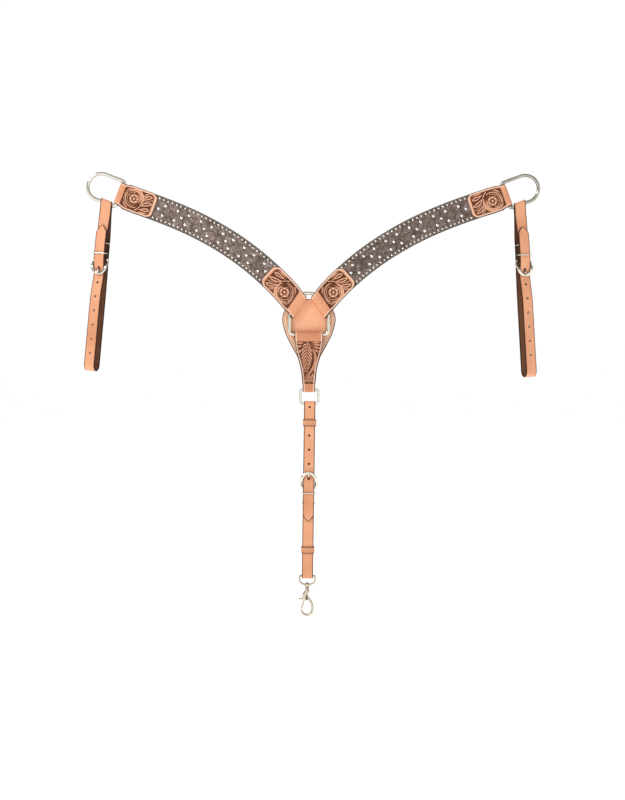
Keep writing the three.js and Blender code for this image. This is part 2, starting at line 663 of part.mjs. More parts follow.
function snap() {
  const lean = degrees(CENTRE_STRAP.lean);
  const [x, z] = CENTRE_STRAP.heel;
  const group = new THREE.Group();
  group.position.set(x - HEEL_TO_EYE * Math.sin(lean), 0, z - HEEL_TO_EYE * Math.cos(lean));
  group.rotation.y = lean;
  group.add(snapEye(), snapBody(), snapTrigger(), snapPin(), snapSpring());
  return group;
}

// ---------------------------------------------------------------- the whole collar
const collar = new THREE.Group();
collar.name = 'breast_collar';
collar.add(centreRing(), ringBacker(), dropFront(), smallDee(), centreStrap(), snap());
for (const [name, side] of Object.entries(SIDES)) {
  collar.add(yoke(name, side), dee(name, side), tug(name, side));
}
export default collar;
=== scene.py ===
"""Looks for a western breast collar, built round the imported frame. Shapes are worked out in millimetres;
the materials and the studio are in metres."""
import math

import bpy
import numpy as np
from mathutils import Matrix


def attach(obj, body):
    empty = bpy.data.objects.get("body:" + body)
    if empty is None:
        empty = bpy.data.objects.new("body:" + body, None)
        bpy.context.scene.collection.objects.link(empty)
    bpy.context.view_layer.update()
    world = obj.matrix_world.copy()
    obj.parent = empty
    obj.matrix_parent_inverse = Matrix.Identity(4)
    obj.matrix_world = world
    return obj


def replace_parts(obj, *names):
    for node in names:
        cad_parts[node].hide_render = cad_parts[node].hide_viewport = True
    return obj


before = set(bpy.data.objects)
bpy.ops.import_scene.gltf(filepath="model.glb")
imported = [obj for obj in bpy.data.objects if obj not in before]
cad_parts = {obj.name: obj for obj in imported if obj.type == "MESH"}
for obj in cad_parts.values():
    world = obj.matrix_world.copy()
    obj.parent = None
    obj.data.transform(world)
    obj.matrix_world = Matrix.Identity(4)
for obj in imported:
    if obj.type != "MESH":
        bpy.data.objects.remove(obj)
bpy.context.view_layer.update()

RANDOM = np.random.default_rng(7)
MM = 0.001  # metres in a millimetre
RIM = 5.2  # plain border round the tooling, in mm
DEPTH_AXIS, ACROSS_AXIS = (0, 1, 0), (1, 0, 0)

# ------------------------------------------------------------------ driving dimensions, in mm and degrees
RING = dict(wire=4.0, top=10.0, shoulder=(43.5, -50.0), foot_z=-92.0, corner=6.0, foot=9.0)
YOKE = dict(width=58.0, lining=2.8, overlay=1.6, inset=1.2, end=13.0, gap=0.35)
SIDES = {
    "left": dict(sign=-1, dee=(-422.0, 221.7), ring_slope=51, ring_reach=232, dee_slope=25, dee_reach=80,
                 dee_tilt=21, ring_front=96.5, dee_front=82.5, lean=5.2, length=377.0, fan_up=(1, -1)),
    "right": dict(sign=1, dee=(441.0, 218.5), ring_slope=51, ring_reach=221, dee_slope=20, dee_reach=83,
                  dee_tilt=20, ring_front=92.0, dee_front=85.5, lean=3.2, length=386.0, fan_up=(1, 1)),
}
CHAPE = 2.6
RING_CHAPE = dict(bore=6.2, reach=8.7, half=27.0, back=58.0, corner=17.0, patch=11.5)
DEE_CHAPE = dict(bore=5.2, reach=5.2, half=25.0, back=52.0, corner=15.0, patch=6.5)
DEE = dict(wire=3.9, half=30.0, leg=46.0, corner=6.0, hang=22.0)
DROP = dict(length=124.0, thickness=2.6, ring_fold=6.0, dee_fold=4.2, leg=3.3)
BACKER = dict(thickness=3.2, depth=10.8)
SMALL_DEE = dict(wire=2.5, half=20.0, depth=31.6, corner=4.0, round=7.0, x=1.0)
STRAP = dict(half=12.7, thickness=3.4, pitch=31.75, hole=2.4, tip=75.0, taper=16.0)
TUG = dict(heel=125.5, loop=13.0, twist=16.0)
BUCKLE = dict(heel=2.3, depth=-2.1, face=-10.5, half=17.0, toe=33.0, flat=12.0, band=3.25, thick=2.0)
TONGUE_BLADE = [(-2.2, -3.5), (-8, -3.5), (-14, -3.5), (-18, -4), (-21, -7.5), (-24, -11.3), (-27, -13.6),
                (-30.5, -14.6), (-36.4, -14.5)]
HOLE_AT = 21.5
KEEPER = dict(wire=1.5, at=12.0, half=14.7, front=-16.5, back=-2.85)
CHAPE_LOOP = dict(wire=1.2, at=35.0, half=14.4, front=-9.85, back=5.65)
LEATHER_KEEPER = dict(height=15.0, thickness=2.0, half=14.1, depth=8.1, upper=-145.0, lower=139.5)
CENTRE = dict(heel=(-0.6, -435.0), lean=0.8, to_eye=197.5, to_dee=187.4)
SNAP = dict(wire=2.5, half=17.5, boss=-21.0, boss_half=3.8, hook=-75.5, ring=12.4, bar=3.1)
PIVOT = (-6, 0, -50)  # middle of the pin that the snap's trigger turns on


# ------------------------------------------------------------------ small maths
def smooth(x, low, high):
    t = np.clip((np.asarray(x, float) - low) / (high - low), 0, 1)
    return t * t * (3 - 2 * t)


def bezier(p0, p1, p2, p3, count=24):
    t = np.linspace(0, 1, count + 1)[:, None]
    p0, p1, p2, p3 = (np.asarray(p, float) for p in (p0, p1, p2, p3))
    return (1 - t) ** 3 * p0 + 3 * (1 - t) ** 2 * t * p1 + 3 * (1 - t) * t ** 2 * p2 + t ** 3 * p3


def arc(centre, radius, start, end, count=24):
    angle = np.radians(np.linspace(start, end, count + 1))
    return np.column_stack([centre[0] + radius * np.cos(angle), centre[1] + radius * np.sin(angle)])


def chain(*pieces):
    """Joins stretches of a line and drops points that repeat."""
    line = np.vstack([np.atleast_2d(np.asarray(p, float)) for p in pieces])
    keep = np.append(True, np.linalg.norm(np.diff(line, axis=0), axis=1) > 1e-4)
    return line[keep]


def run_of(line):
    """Distance run along a line at each of its points."""
    return np.append(0, np.cumsum(np.linalg.norm(np.diff(line, axis=0), axis=1)))


def resample(line, spacing, fine=None):
    """Even points along a line; fine is (from, to, spacing) in distance run."""
    run = run_of(line)
    cuts = [0, run[-1]] if fine is None else [0, fine[0], fine[1], run[-1]]
    steps = [spacing] if fine is None else [spacing, fine[2], spacing]
    at = [0.0]
    for low, high, step in zip(cuts[:-1], cuts[1:], steps):
        if high - low > 1e-6:
            at.extend(np.linspace(low, high, max(int(math.ceil((high - low) / step)), 1) + 1)[1:])
    return np.column_stack([np.interp(at, run, line[:, k]) for k in range(line.shape[1])])


def closed_line(outline, spacing):
    """Even points round a closed outline."""
    return resample(np.vstack([outline, outline[:1]]), spacing)[:-1]


def at_depth(line, depth=0.0):
    """Points (x, y, z) from (x, z) points at one depth, or at one for each."""
    return np.column_stack([line[:, 0], np.full(len(line), depth), line[:, 1]])


def spline(points, count):
    """Smooth curve through points, by Catmull-Rom."""
    p = np.asarray(points, float)
    p = np.vstack([2 * p[0] - p[1], p, 2 * p[-1] - p[-2]])
    out = []
    for i in range(1, len(p) - 2):
        t = np.linspace(0, 1, count, endpoint=False)[:, None]
        a, b, c, d = p[i - 1:i + 3]
        out.append(0.5 * (2 * b + (c - a) * t + (2 * a - 5 * b + 4 * c - d) * t ** 2
                          + (3 * b - a - 3 * c + d) * t ** 3))
    return np.vstack([*out, p[-2:-1]])


def rounded_outline(corners, steps=10):
    """Points round a closed outline of (x, z, corner radius)."""
    points = []
    for i, (x, z, radius) in enumerate(corners):
        here = np.array([x, z])
        back = np.array(corners[i - 1][:2]) - here
        forward = np.array(corners[(i + 1) % len(corners)][:2]) - here
        back, forward = back / np.linalg.norm(back), forward / np.linalg.norm(forward)
        half = math.acos(np.clip(back @ forward, -1, 1)) / 2
        middle = (back + forward) / np.linalg.norm(back + forward)
        centre = here + middle * radius / math.sin(half)
        first = here + back * radius / math.tan(half) - centre
        last = here + forward * radius / math.tan(half) - centre
        start = math.atan2(first[1], first[0])
        turn = (math.atan2(last[1], last[0]) - start + math.pi) % (2 * math.pi) - math.pi
        angle = start + turn * np.linspace(0, 1, steps + 1)
        x_points, z_points = centre[0] + radius * np.cos(angle), centre[1] + radius * np.sin(angle)
        points.append(np.column_stack([x_points, z_points]))
    line = chain(*points)
    return line[:-1] if np.linalg.norm(line[0] - line[-1]) < 1e-4 else line


# ------------------------------------------------------------------ mesh building
FACE, PAINTED, INNER = 0, 1, 2  # material slots of a piece of leather


def link_object(name, data):
    made = bpy.data.objects.new(name, data)
    bpy.context.scene.collection.objects.link(made)
    return made


def make_piece(name, verts_mm, faces, body, slot, materials, face_material=None, values=None, flat=()):
    """A piece of the object: mesh in metres, riding on a body, with float values stored per vertex."""
    mesh = bpy.data.meshes.new(name)
    mesh.from_pydata((np.asarray(verts_mm) * MM).tolist(), [], faces)
    for material in materials:
        mesh.materials.append(material)
    if face_material is not None:
        mesh.polygons.foreach_set("material_index", np.asarray(face_material, np.int32))
    shade = np.ones(len(mesh.polygons), bool)
    shade[list(flat)] = False
    mesh.polygons.foreach_set("use_smooth", shade)
    for key, value in (values or {}).items():
        layer = mesh.attributes.new(key, "FLOAT", "POINT")
        layer.data.foreach_set("value", np.asarray(value, np.float32))
    mesh.update()
    piece = link_object(name, mesh)
    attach(piece, body)
    return piece


def stand_in(name, verts_mm, faces, body, slot, materials, *more):
    """A piece that takes the place of the CAD node of the same name."""
    piece = make_piece(name, verts_mm, faces, body, slot, materials, *more)
    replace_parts(piece, name)


def grid_faces(rows, columns, closed_rows=False):
    """Quads between neighbouring rows of a tube whose columns wrap round."""
    row = np.arange(rows if closed_rows else rows - 1)[:, None]
    column = np.arange(columns)[None, :]
    here, there = row * columns, ((row + 1) % rows) * columns
    after = (column + 1) % columns
    quads = np.stack([here + column, there + column, there + after, here + after], axis=-1)
    return quads.reshape(-1, 4)


def facing_out(verts, faces):
    """Flips every face if the closed mesh they make is inside out."""
    v = np.asarray(verts)
    quads = np.array([f[:4] for f in faces if len(f) == 4])
    a, b, c, d = (v[quads[:, k]] for k in range(4))
    volume = sum(np.einsum("ij,ij->i", a, np.cross(p, q)).sum() for p, q in ((b, c), (c, d)))
    return faces if volume > 0 else [f[::-1] for f in faces]


def placed(to_world, verts, faces):
    """A solid taken to its place, facing out there."""
    verts = to_world(verts)
    return verts, facing_out(verts, faces)


def section(front_shares):
    """Columns round a strap's section: share of the width, depth side, and the edge's cos and sin."""
    coarse, edge = 6, 5  # columns across the inner face and round each edge
    turn = np.radians(np.linspace(-90, 90, edge + 2)[1:-1])
    side = np.where(turn < -1e-6, -1.0, 1.0)
    front = [(f, -1, 0, -1) for f in front_shares]
    right = [(1, s, math.cos(a), math.sin(a)) for a, s in zip(turn, side)]
    back = [(f, 1, 0, 1) for f in np.linspace(1, -1, coarse)]
    left = [(-1, s, -math.cos(a), math.sin(a)) for a, s in zip(turn[::-1], side[::-1])]
    columns = np.array(front + right + back + left)
    is_edge = np.zeros(len(columns), bool)
    is_edge[len(front) - 1:len(front) + edge] = True
    is_edge[len(front) + edge + coarse - 1:] = True
    return columns, is_edge


def rounded_section(run, half, thickness, round_edge, columns):
    """Across and depth of every point of a strap whose edges and ends are rounded."""
    edge_r = min(round_edge, thickness * 0.45)
    to_end = np.minimum(run, run[-1] - run)
    pinch = np.sqrt(np.clip(1 - (1 - np.clip(to_end / edge_r, 0, 1)) ** 2, 0, 1))[:, None]
    share, side, cos, sin = columns.T
    turned_in = np.sign(share) * edge_r * (1 - pinch) * 0.9
    across = share * (half[:, None] - edge_r) + (cos * edge_r - turned_in)
    return across, side * (thickness / 2 - edge_r) + sin * edge_r * pinch


def strap_faces(rows, columns, is_edge, lined):
    """Faces of a strap's grid and its two ends, with each one's material slot."""
    count = len(columns)
    column_of = np.tile(np.arange(count), rows - 1)
    ends = [list(range(count))[::-1], list(range((rows - 1) * count, rows * count))]
    inner = (columns[:, 1] > 0)[column_of] & lined
    kinds = np.where(is_edge[column_of], PAINTED, np.where(inner, INNER, FACE))
    return grid_faces(rows, count).tolist() + ends, np.append(kinds, [PAINTED, PAINTED])


def leather(name, line, thickness, half, place, body, slot, materials, fine, outer=-1, relief=None,
            round_edge=1.25):
    """Leather of even thickness along a middle line of (along, depth), with rounded, painted edges.

    half is the half width at each point, place puts (along, depth, across) into space, and relief gives
    (height, dark) for the outer face from distance run, across and half width. fine is the number of columns
    across the outer face, or where they lie from -1 to 1."""
    line, half = np.asarray(line, float), np.asarray(half, float)
    run = run_of(line)
    shares = np.linspace(-1, 1, fine) if np.isscalar(fine) else np.asarray(fine)
    columns, is_edge = section(shares)
    tangent = np.gradient(line, run, axis=0)
    tangent /= np.linalg.norm(tangent, axis=1)[:, None]
    normal = np.column_stack([-tangent[:, 1], tangent[:, 0]]) * -outer
    across, depth = rounded_section(run, half, thickness, round_edge, columns)
    runs = np.repeat(run[:, None], len(columns), axis=1)
    dark = np.zeros_like(depth)
    if relief is not None:
        outer_face = np.arange(len(shares))
        height, shade = relief(runs[:, outer_face], across[:, outer_face], half[:, None])
        depth[:, outer_face] -= height
        dark[:, outer_face] = shade
    points = line[:, None, :] + normal[:, None, :] * depth[:, :, None]
    verts = place(points[:, :, 0].ravel(), points[:, :, 1].ravel(), across.ravel())
    faces, kinds = strap_faces(len(line), columns, is_edge, len(materials) > INNER)
    faces = facing_out(verts, faces)
    to_end = np.minimum(run, run[-1] - run)[:, None]
    near = np.minimum(half[:, None] - np.abs(across), to_end)
    values = {"dark": dark.ravel(), "run": runs.ravel() * MM, "across": across.ravel() * MM,
              "near": near.ravel() * MM}
    ends = (len(faces) - 1, len(faces) - 2)
    piece = make_piece(name, verts, faces, body, slot, materials, kinds, values, ends)
    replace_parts(piece, name)
    return piece


def sweep(points, plane_normal, sizes, closed=False, facets=24, square=2.0):
    """Verts and faces of a bar along points. sizes is (in the plane, across it) for each point, and square
    above 2 makes the section boxier."""
    p = np.asarray(points, float)
    along = np.roll(p, -1, axis=0) - np.roll(p, 1, axis=0) if closed else np.gradient(p, axis=0)
    along /= np.linalg.norm(along, axis=1)[:, None]
    side = np.cross(along, np.asarray(plane_normal, float))
    side /= np.linalg.norm(side, axis=1)[:, None]
    up = np.cross(side, along)
    angle = 2 * np.pi * np.arange(facets) / facets
    cos, sin = np.cos(angle), np.sin(angle)
    cos = np.sign(cos) * np.abs(cos) ** (2 / square)
    sin = np.sign(sin) * np.abs(sin) ** (2 / square)
    sizes = np.broadcast_to(np.asarray(sizes, float), (len(p), 2))
    verts = (p[:, None] + side[:, None] * (sizes[:, :1] * cos)[:, :, None]
             + up[:, None] * (sizes[:, 1:] * sin)[:, :, None]).reshape(-1, 3)
    faces = grid_faces(len(p), facets, closed).tolist()
    if not closed:
        faces += [list(range(facets))[::-1], list(range((len(p) - 1) * facets, len(p) * facets))]
    return verts, facing_out(verts, faces)


def lathe(profile, facets=24):
    """Verts and faces of a solid of revolution about +Z from (radius, z), starting and ending on the axis."""
    ring = np.asarray(profile[1:-1], float)
    angle = 2 * np.pi * np.arange(facets) / facets
    cos, sin = np.cos(angle), np.sin(angle)
    verts = [np.column_stack([r * cos, r * sin, np.full(facets, z)]) for r, z in ring]
    verts = np.vstack([*verts, [[0, 0, profile[0][1]], [0, 0, profile[-1][1]]]])
    faces = grid_faces(len(ring), facets).tolist()
    first, last = len(verts) - 2, len(verts) - 1
    top = (len(ring) - 1) * facets
    for k in range(facets):
        after = (k + 1) % facets
        faces.append([first, k, after])
        faces.append([last, top + after, top + k])
    return verts, facing_out(verts, faces)


def together(parts):
    """Puts several (verts, faces) into one."""
    verts, faces, start = [], [], 0
    for v, f in parts:
        verts.append(np.asarray(v))
        faces += [[i + start for i in face] for face in f]
        start += len(v)
    return np.vstack(verts), faces


def evaluated(piece):
    """Mesh of a piece with its modifiers applied."""
    depsgraph = bpy.context.evaluated_depsgraph_get()
    return bpy.data.meshes.new_from_object(piece.evaluated_get(depsgraph))


def fuse(piece, voxel, smoothing=4):
    """Melts a piece's overlapping parts into one closed surface, as in a casting."""
    remesh = piece.modifiers.new("fuse", "REMESH")
    remesh.mode = "VOXEL"
    remesh.voxel_size = voxel * MM
    relax = piece.modifiers.new("relax", "SMOOTH")
    relax.iterations = smoothing
    relax.factor = 0.5
    mesh = evaluated(piece)
    piece.modifiers.clear()
    piece.data = mesh
    mesh.polygons.foreach_set("use_smooth", np.ones(len(mesh.polygons), bool))
    return piece


def cut_with(piece, cutters, slot=0):
    """Cuts (verts, faces) solids in mm out of a piece. Cut faces take the piece's material in that slot."""
    verts, faces = together(cutters)
    mesh = bpy.data.meshes.new("cutter")
    mesh.from_pydata((verts * MM).tolist(), [], faces)
    for material in piece.data.materials:
        mesh.materials.append(material)
    mesh.polygons.foreach_set("material_index", np.full(len(faces), slot, np.int32))
    tool = link_object("cutter", mesh)
    boolean = piece.modifiers.new("cut", "BOOLEAN")
    boolean.operation = "DIFFERENCE"
    boolean.solver = "EXACT"
    boolean.object = tool
    cut_mesh = evaluated(piece)
    piece.modifiers.clear()
    piece.data = cut_mesh
    bpy.data.objects.remove(tool)


# ------------------------------------------------------------------ materials
def rgb(red, green, blue):
    """Colour from 0 to 255 as a linear RGBA."""
    values = [v / 255 for v in (red, green, blue)]
    return tuple(v / 12.92 if v <= 0.04045 else ((v + 0.055) / 1.055) ** 2.4 for v in values) + (1.0,)


class Nodes:
    """A node tree, with short ways to add nodes."""

    def __init__(self, tree):
        self.tree = tree

    def add(self, kind):
        return self.tree.nodes.new(f"ShaderNode{kind}")

    def link(self, value, socket):
        if isinstance(value, bpy.types.NodeSocket):
            self.tree.links.new(value, socket)
        else:
            socket.default_value = value

    def maths(self, operation, a, b=0.0):
        node = self.add("Math")
        node.operation = operation
        self.link(a, node.inputs[0])
        self.link(b, node.inputs[1])
        return node.outputs[0]

    def ramp(self, value, low, high, out_low=0.0, out_high=1.0):
        node = self.add("MapRange")
        for socket, number in zip(list(node.inputs)[1:5], (low, high, out_low, out_high)):
            socket.default_value = number
        self.link(value, node.inputs[0])
        return node.outputs[0]


class Look(Nodes):
    """A material, made from nodes."""

    def __init__(self, name, roughness, metallic=0.0, specular=0.45):
        self.material = bpy.data.materials.new(name)
        self.material.use_nodes = True
        super().__init__(self.material.node_tree)
        self.shader = self.tree.nodes["Principled BSDF"]
        self.shader.inputs["Roughness"].default_value = roughness
        self.shader.inputs["Metallic"].default_value = metallic
        self.shader.inputs["Specular IOR Level"].default_value = specular
        places = self.add("TexCoord").outputs
        self.coords, self.normals = places["Object"], places["Normal"]

    def attribute(self, name):
        node = self.add("Attribute")
        node.attribute_name = name
        return node.outputs["Fac"]

    def noise(self, scale, detail=3.0, distortion=0.0):
        node = self.add("TexNoise")
        node.inputs["Scale"].default_value = scale
        node.inputs["Detail"].default_value = detail
        node.inputs["Distortion"].default_value = distortion
        self.link(self.coords, node.inputs["Vector"])
        return node.outputs["Fac"]

    def cells(self, scale, vector=None, feature="F1"):
        node = self.add("TexVoronoi")
        node.feature = feature
        node.inputs["Scale"].default_value = scale
        self.link(vector or self.coords, node.inputs["Vector"])
        return node.outputs["Distance"]

    def mix(self, share, a, b):
        node = self.add("Mix")
        node.data_type = "RGBA"
        sockets = {s.identifier: s for s in node.inputs}
        self.link(share, sockets["Factor_Float"])
        self.link(a, sockets["A_Color"])
        self.link(b, sockets["B_Color"])
        return {s.identifier: s for s in node.outputs}["Result_Color"]

    def finish(self, colour, roughness=None, bumps=()):
        """bumps are (height, distance in metres, strength), laid one on another."""
        self.link(colour, self.shader.inputs["Base Color"])
        if roughness is not None:
            self.link(roughness, self.shader.inputs["Roughness"])
        normal = None
        for height, distance, strength in bumps:
            bump = self.add("Bump")
            bump.inputs["Distance"].default_value = distance
            bump.inputs["Strength"].default_value = strength
            self.link(height, bump.inputs["Height"])
            if normal is not None:
                self.link(normal, bump.inputs["Normal"])
            normal = bump.outputs["Normal"]
        if normal is not None:
            self.link(normal, self.shader.inputs["Normal"])
        return self.material


STAIN = rgb(72, 30, 10), rgb(120, 62, 28)  # dark and light of the antique stain
PAINT_LINE = rgb(74, 42, 26)  # edge paint that shows round a face


def russet(name, base, light, deep, antique=0.0, grain=1.0, rim=None, pale=None, ink=0.75, mottle=0.0):
    """Oiled vegetable-tanned leather. The antique stain lies where the mesh's dark value is over 0, and the
    colour goes towards pale where it is under 0: a painted highlight on the tops of the raised tooling. ink
    is how strongly the edge paint shows round the face."""
    look = Look(name, 0.5, specular=0.3)
    broad = look.noise(14, 4)
    fine = look.noise(420, 4)
    pores = look.cells(900)
    colour = look.mix(look.ramp(broad, 0.35, 0.7), base, light)
    colour = look.mix(look.ramp(look.noise(9, 2), 0.48, 0.68, 0.0, mottle), colour, deep)
    colour = look.mix(look.ramp(fine, 0.45, 0.75, 0.0, 0.22), colour, deep)
    colour = look.mix(look.ramp(pores, 0.0, 0.18, 0.25, 0.0), colour, deep)
    near = look.attribute("near")
    if rim is not None:
        colour = look.mix(look.ramp(near, RIM * MM - 0.0006, RIM * MM, 0.7, 0.0), colour, rim)
    colour = look.mix(look.ramp(near, 0.0008, 0.0034, 0.62, 0.0), colour, deep)
    # painted highlight: where dark is under 0, on the tops of the raised tooling, the colour goes towards
    # pale
    if pale is not None:
        colour = look.mix(look.ramp(look.attribute("dark"), -1.0, 0.0, 0.85, 0.0), colour, pale)
    if antique:
        stain = look.maths("MULTIPLY", look.attribute("dark"), antique)
        colour = look.mix(stain, colour, look.mix(look.ramp(fine, 0.4, 0.65), *STAIN))
    colour = look.mix(look.ramp(near, 0.0016, 0.0024, ink, 0.0), colour, PAINT_LINE)
    rough = look.ramp(broad, 0.3, 0.7, 0.42, 0.56)
    return look.finish(colour, rough, [(fine, 0.0004 * grain, 0.25), (pores, 0.0003 * grain, 0.3)])


def edge_paint(name, colour):
    look = Look(name, 0.75, specular=0.15)
    return look.finish(look.mix(look.ramp(look.noise(260), 0.4, 0.7), colour, rgb(30, 20, 15)),
                       bumps=[(look.noise(500), 0.0004, 0.3)])


def printed(name, depth):
    """Matt print of mottled tiles in grey-brown, with dark lines between them; depth darkens all of it, as
    painted shade.
    """
    look = Look(name, 0.8, specular=0.25)
    combine = look.add("CombineXYZ")
    wobble = look.ramp(look.noise(70, 3), 0.3, 0.7, -0.004, 0.004)
    for key, scale, socket in (("run", 40, 0), ("across", 56, 1)):
        place = look.maths("ADD", look.attribute(key), wobble)
        look.link(look.maths("MULTIPLY", place, scale), combine.inputs[socket])
    lines = look.cells(1, combine.outputs[0], "DISTANCE_TO_EDGE")
    groove = look.ramp(lines, 0.0, 0.12, 1.0, 0.0)
    fleck = look.noise(330, 6, distortion=0.6)
    cloud = look.noise(48, 4)
    colour = look.mix(look.ramp(fleck, 0.36, 0.64), rgb(92, 78, 71), rgb(168, 151, 141))
    colour = look.mix(look.ramp(cloud, 0.42, 0.66, 0.0, 0.7), colour, rgb(104, 86, 78))
    colour = look.mix(look.ramp(look.noise(700, 4), 0.6, 0.75, 0.0, 0.45), colour, rgb(206, 192, 182))
    colour = look.mix(look.maths("MULTIPLY", groove, 0.6), colour, rgb(58, 42, 36))
    border = look.ramp(look.attribute("near"), 0.003, 0.0044, 0.85, 0.0)
    # border darkens the print's edge; depth lays painted shade evenly over all of it
    colour = look.mix(look.maths("MAXIMUM", border, depth), colour, rgb(44, 34, 30))
    bumps = [(look.maths("SUBTRACT", 1.0, groove), 0.0005, 0.6), (fleck, 0.0004, 0.35)]
    return look.finish(colour, bumps=bumps)


def metal(name, colour, roughness, deep, side_shade=0.85):
    """Polished metal, darkened where a surface faces neither the front nor the back of the object: painted
    shade in place of the studio's dark reflections on the sides of wires and bars.
    """
    look = Look(name, roughness, 1.0)
    smear = look.noise(60, 3)
    shade = look.mix(look.ramp(smear, 0.35, 0.75), colour, deep)
    split = look.add("SeparateXYZ")
    look.link(look.normals, split.inputs[0])
    facing = look.maths("ABSOLUTE", split.outputs["Y"])
    # painted shade: faces turned sideways go towards dark brown, in place of dark reflections
    shade = look.mix(look.ramp(facing, 0.2, 0.92, side_shade, 0.0), shade, rgb(70, 62, 52))
    rough = look.ramp(look.noise(200, 4), 0.3, 0.7, roughness * 0.9, roughness * 1.15)
    return look.finish(shade, rough, [(look.noise(120, 2), 0.0002, 0.03)])


def plain(name, colour, roughness):
    return Look(name, roughness).finish(colour)


STRAP_LEATHER = russet("strap leather", rgb(228, 160, 120), rgb(240, 176, 136), rgb(196, 124, 86), mottle=0.5)
TOOLED_RIM = rgb(246, 208, 184)
# pale is the colour of the painted highlight on the tops of the raised tooling
TOOLED_LEATHER = russet("tooled leather", rgb(220, 150, 110), rgb(232, 166, 126), rgb(170, 98, 66),
                        antique=1.0, rim=TOOLED_RIM, pale=rgb(250, 208, 182), ink=0.45)
DROP_LEATHER = russet("drop leather", rgb(204, 134, 96), rgb(216, 150, 110), rgb(160, 90, 58),
                      antique=1.0, rim=TOOLED_RIM, pale=rgb(244, 192, 162), ink=0.45)
# The backer's leather is lighter than the straps': partly its own tone, partly painted light that lifts the
# shade under the chapes.
BACKER_LEATHER = russet("backing leather", rgb(242, 176, 138), rgb(248, 186, 146), rgb(206, 140, 104),
                        antique=0.7, pale=rgb(255, 236, 212), ink=0.45)
BACK_LEATHER = russet("plain back", rgb(198, 148, 112), rgb(208, 160, 124), rgb(170, 118, 84), grain=2.0)
# The flesh side is dark brown: partly its own tone, partly painted shade on the inner runs of folded straps
# and in the punched holes.
SHADED_FLESH = russet("flesh side in painted shade", rgb(118, 76, 50), rgb(136, 92, 62), rgb(84, 52, 34), grain=3.0)
EDGE = edge_paint("edge paint", rgb(66, 36, 20))
# The right overlay is the same print darkened all over: painted shade.
PRINT = {"left": printed("left overlay", 0.0), "right": printed("shaded right overlay", 0.24)}
PRINT_EDGE = edge_paint("print edge", rgb(58, 48, 42))
NICKEL = metal("nickel", rgb(234, 229, 214), 0.14, rgb(222, 214, 198))
# The right dee is the same nickel made darker: painted shade, for the darker reflections it catches.
DEE_METAL = {"left": NICKEL, "right": metal("shaded nickel", rgb(190, 185, 172), 0.2, rgb(164, 158, 144))}
CAST = metal("cast nickel", rgb(212, 201, 182), 0.2, rgb(190, 176, 154))
STUD = metal("stud", rgb(250, 248, 242), 0.2, rgb(238, 234, 226), side_shade=0.0)
# Dark metal of the spots in the yoke's stud sets; the same material is painted shade on the walls of the
# snap's slot and front recess.
DARK_SPOT_AND_RECESS_SHADE = metal("dark spot", rgb(120, 104, 92), 0.45, rgb(92, 78, 68), side_shade=0.3)
THREAD = plain("waxed thread", rgb(226, 208, 184), 0.7)


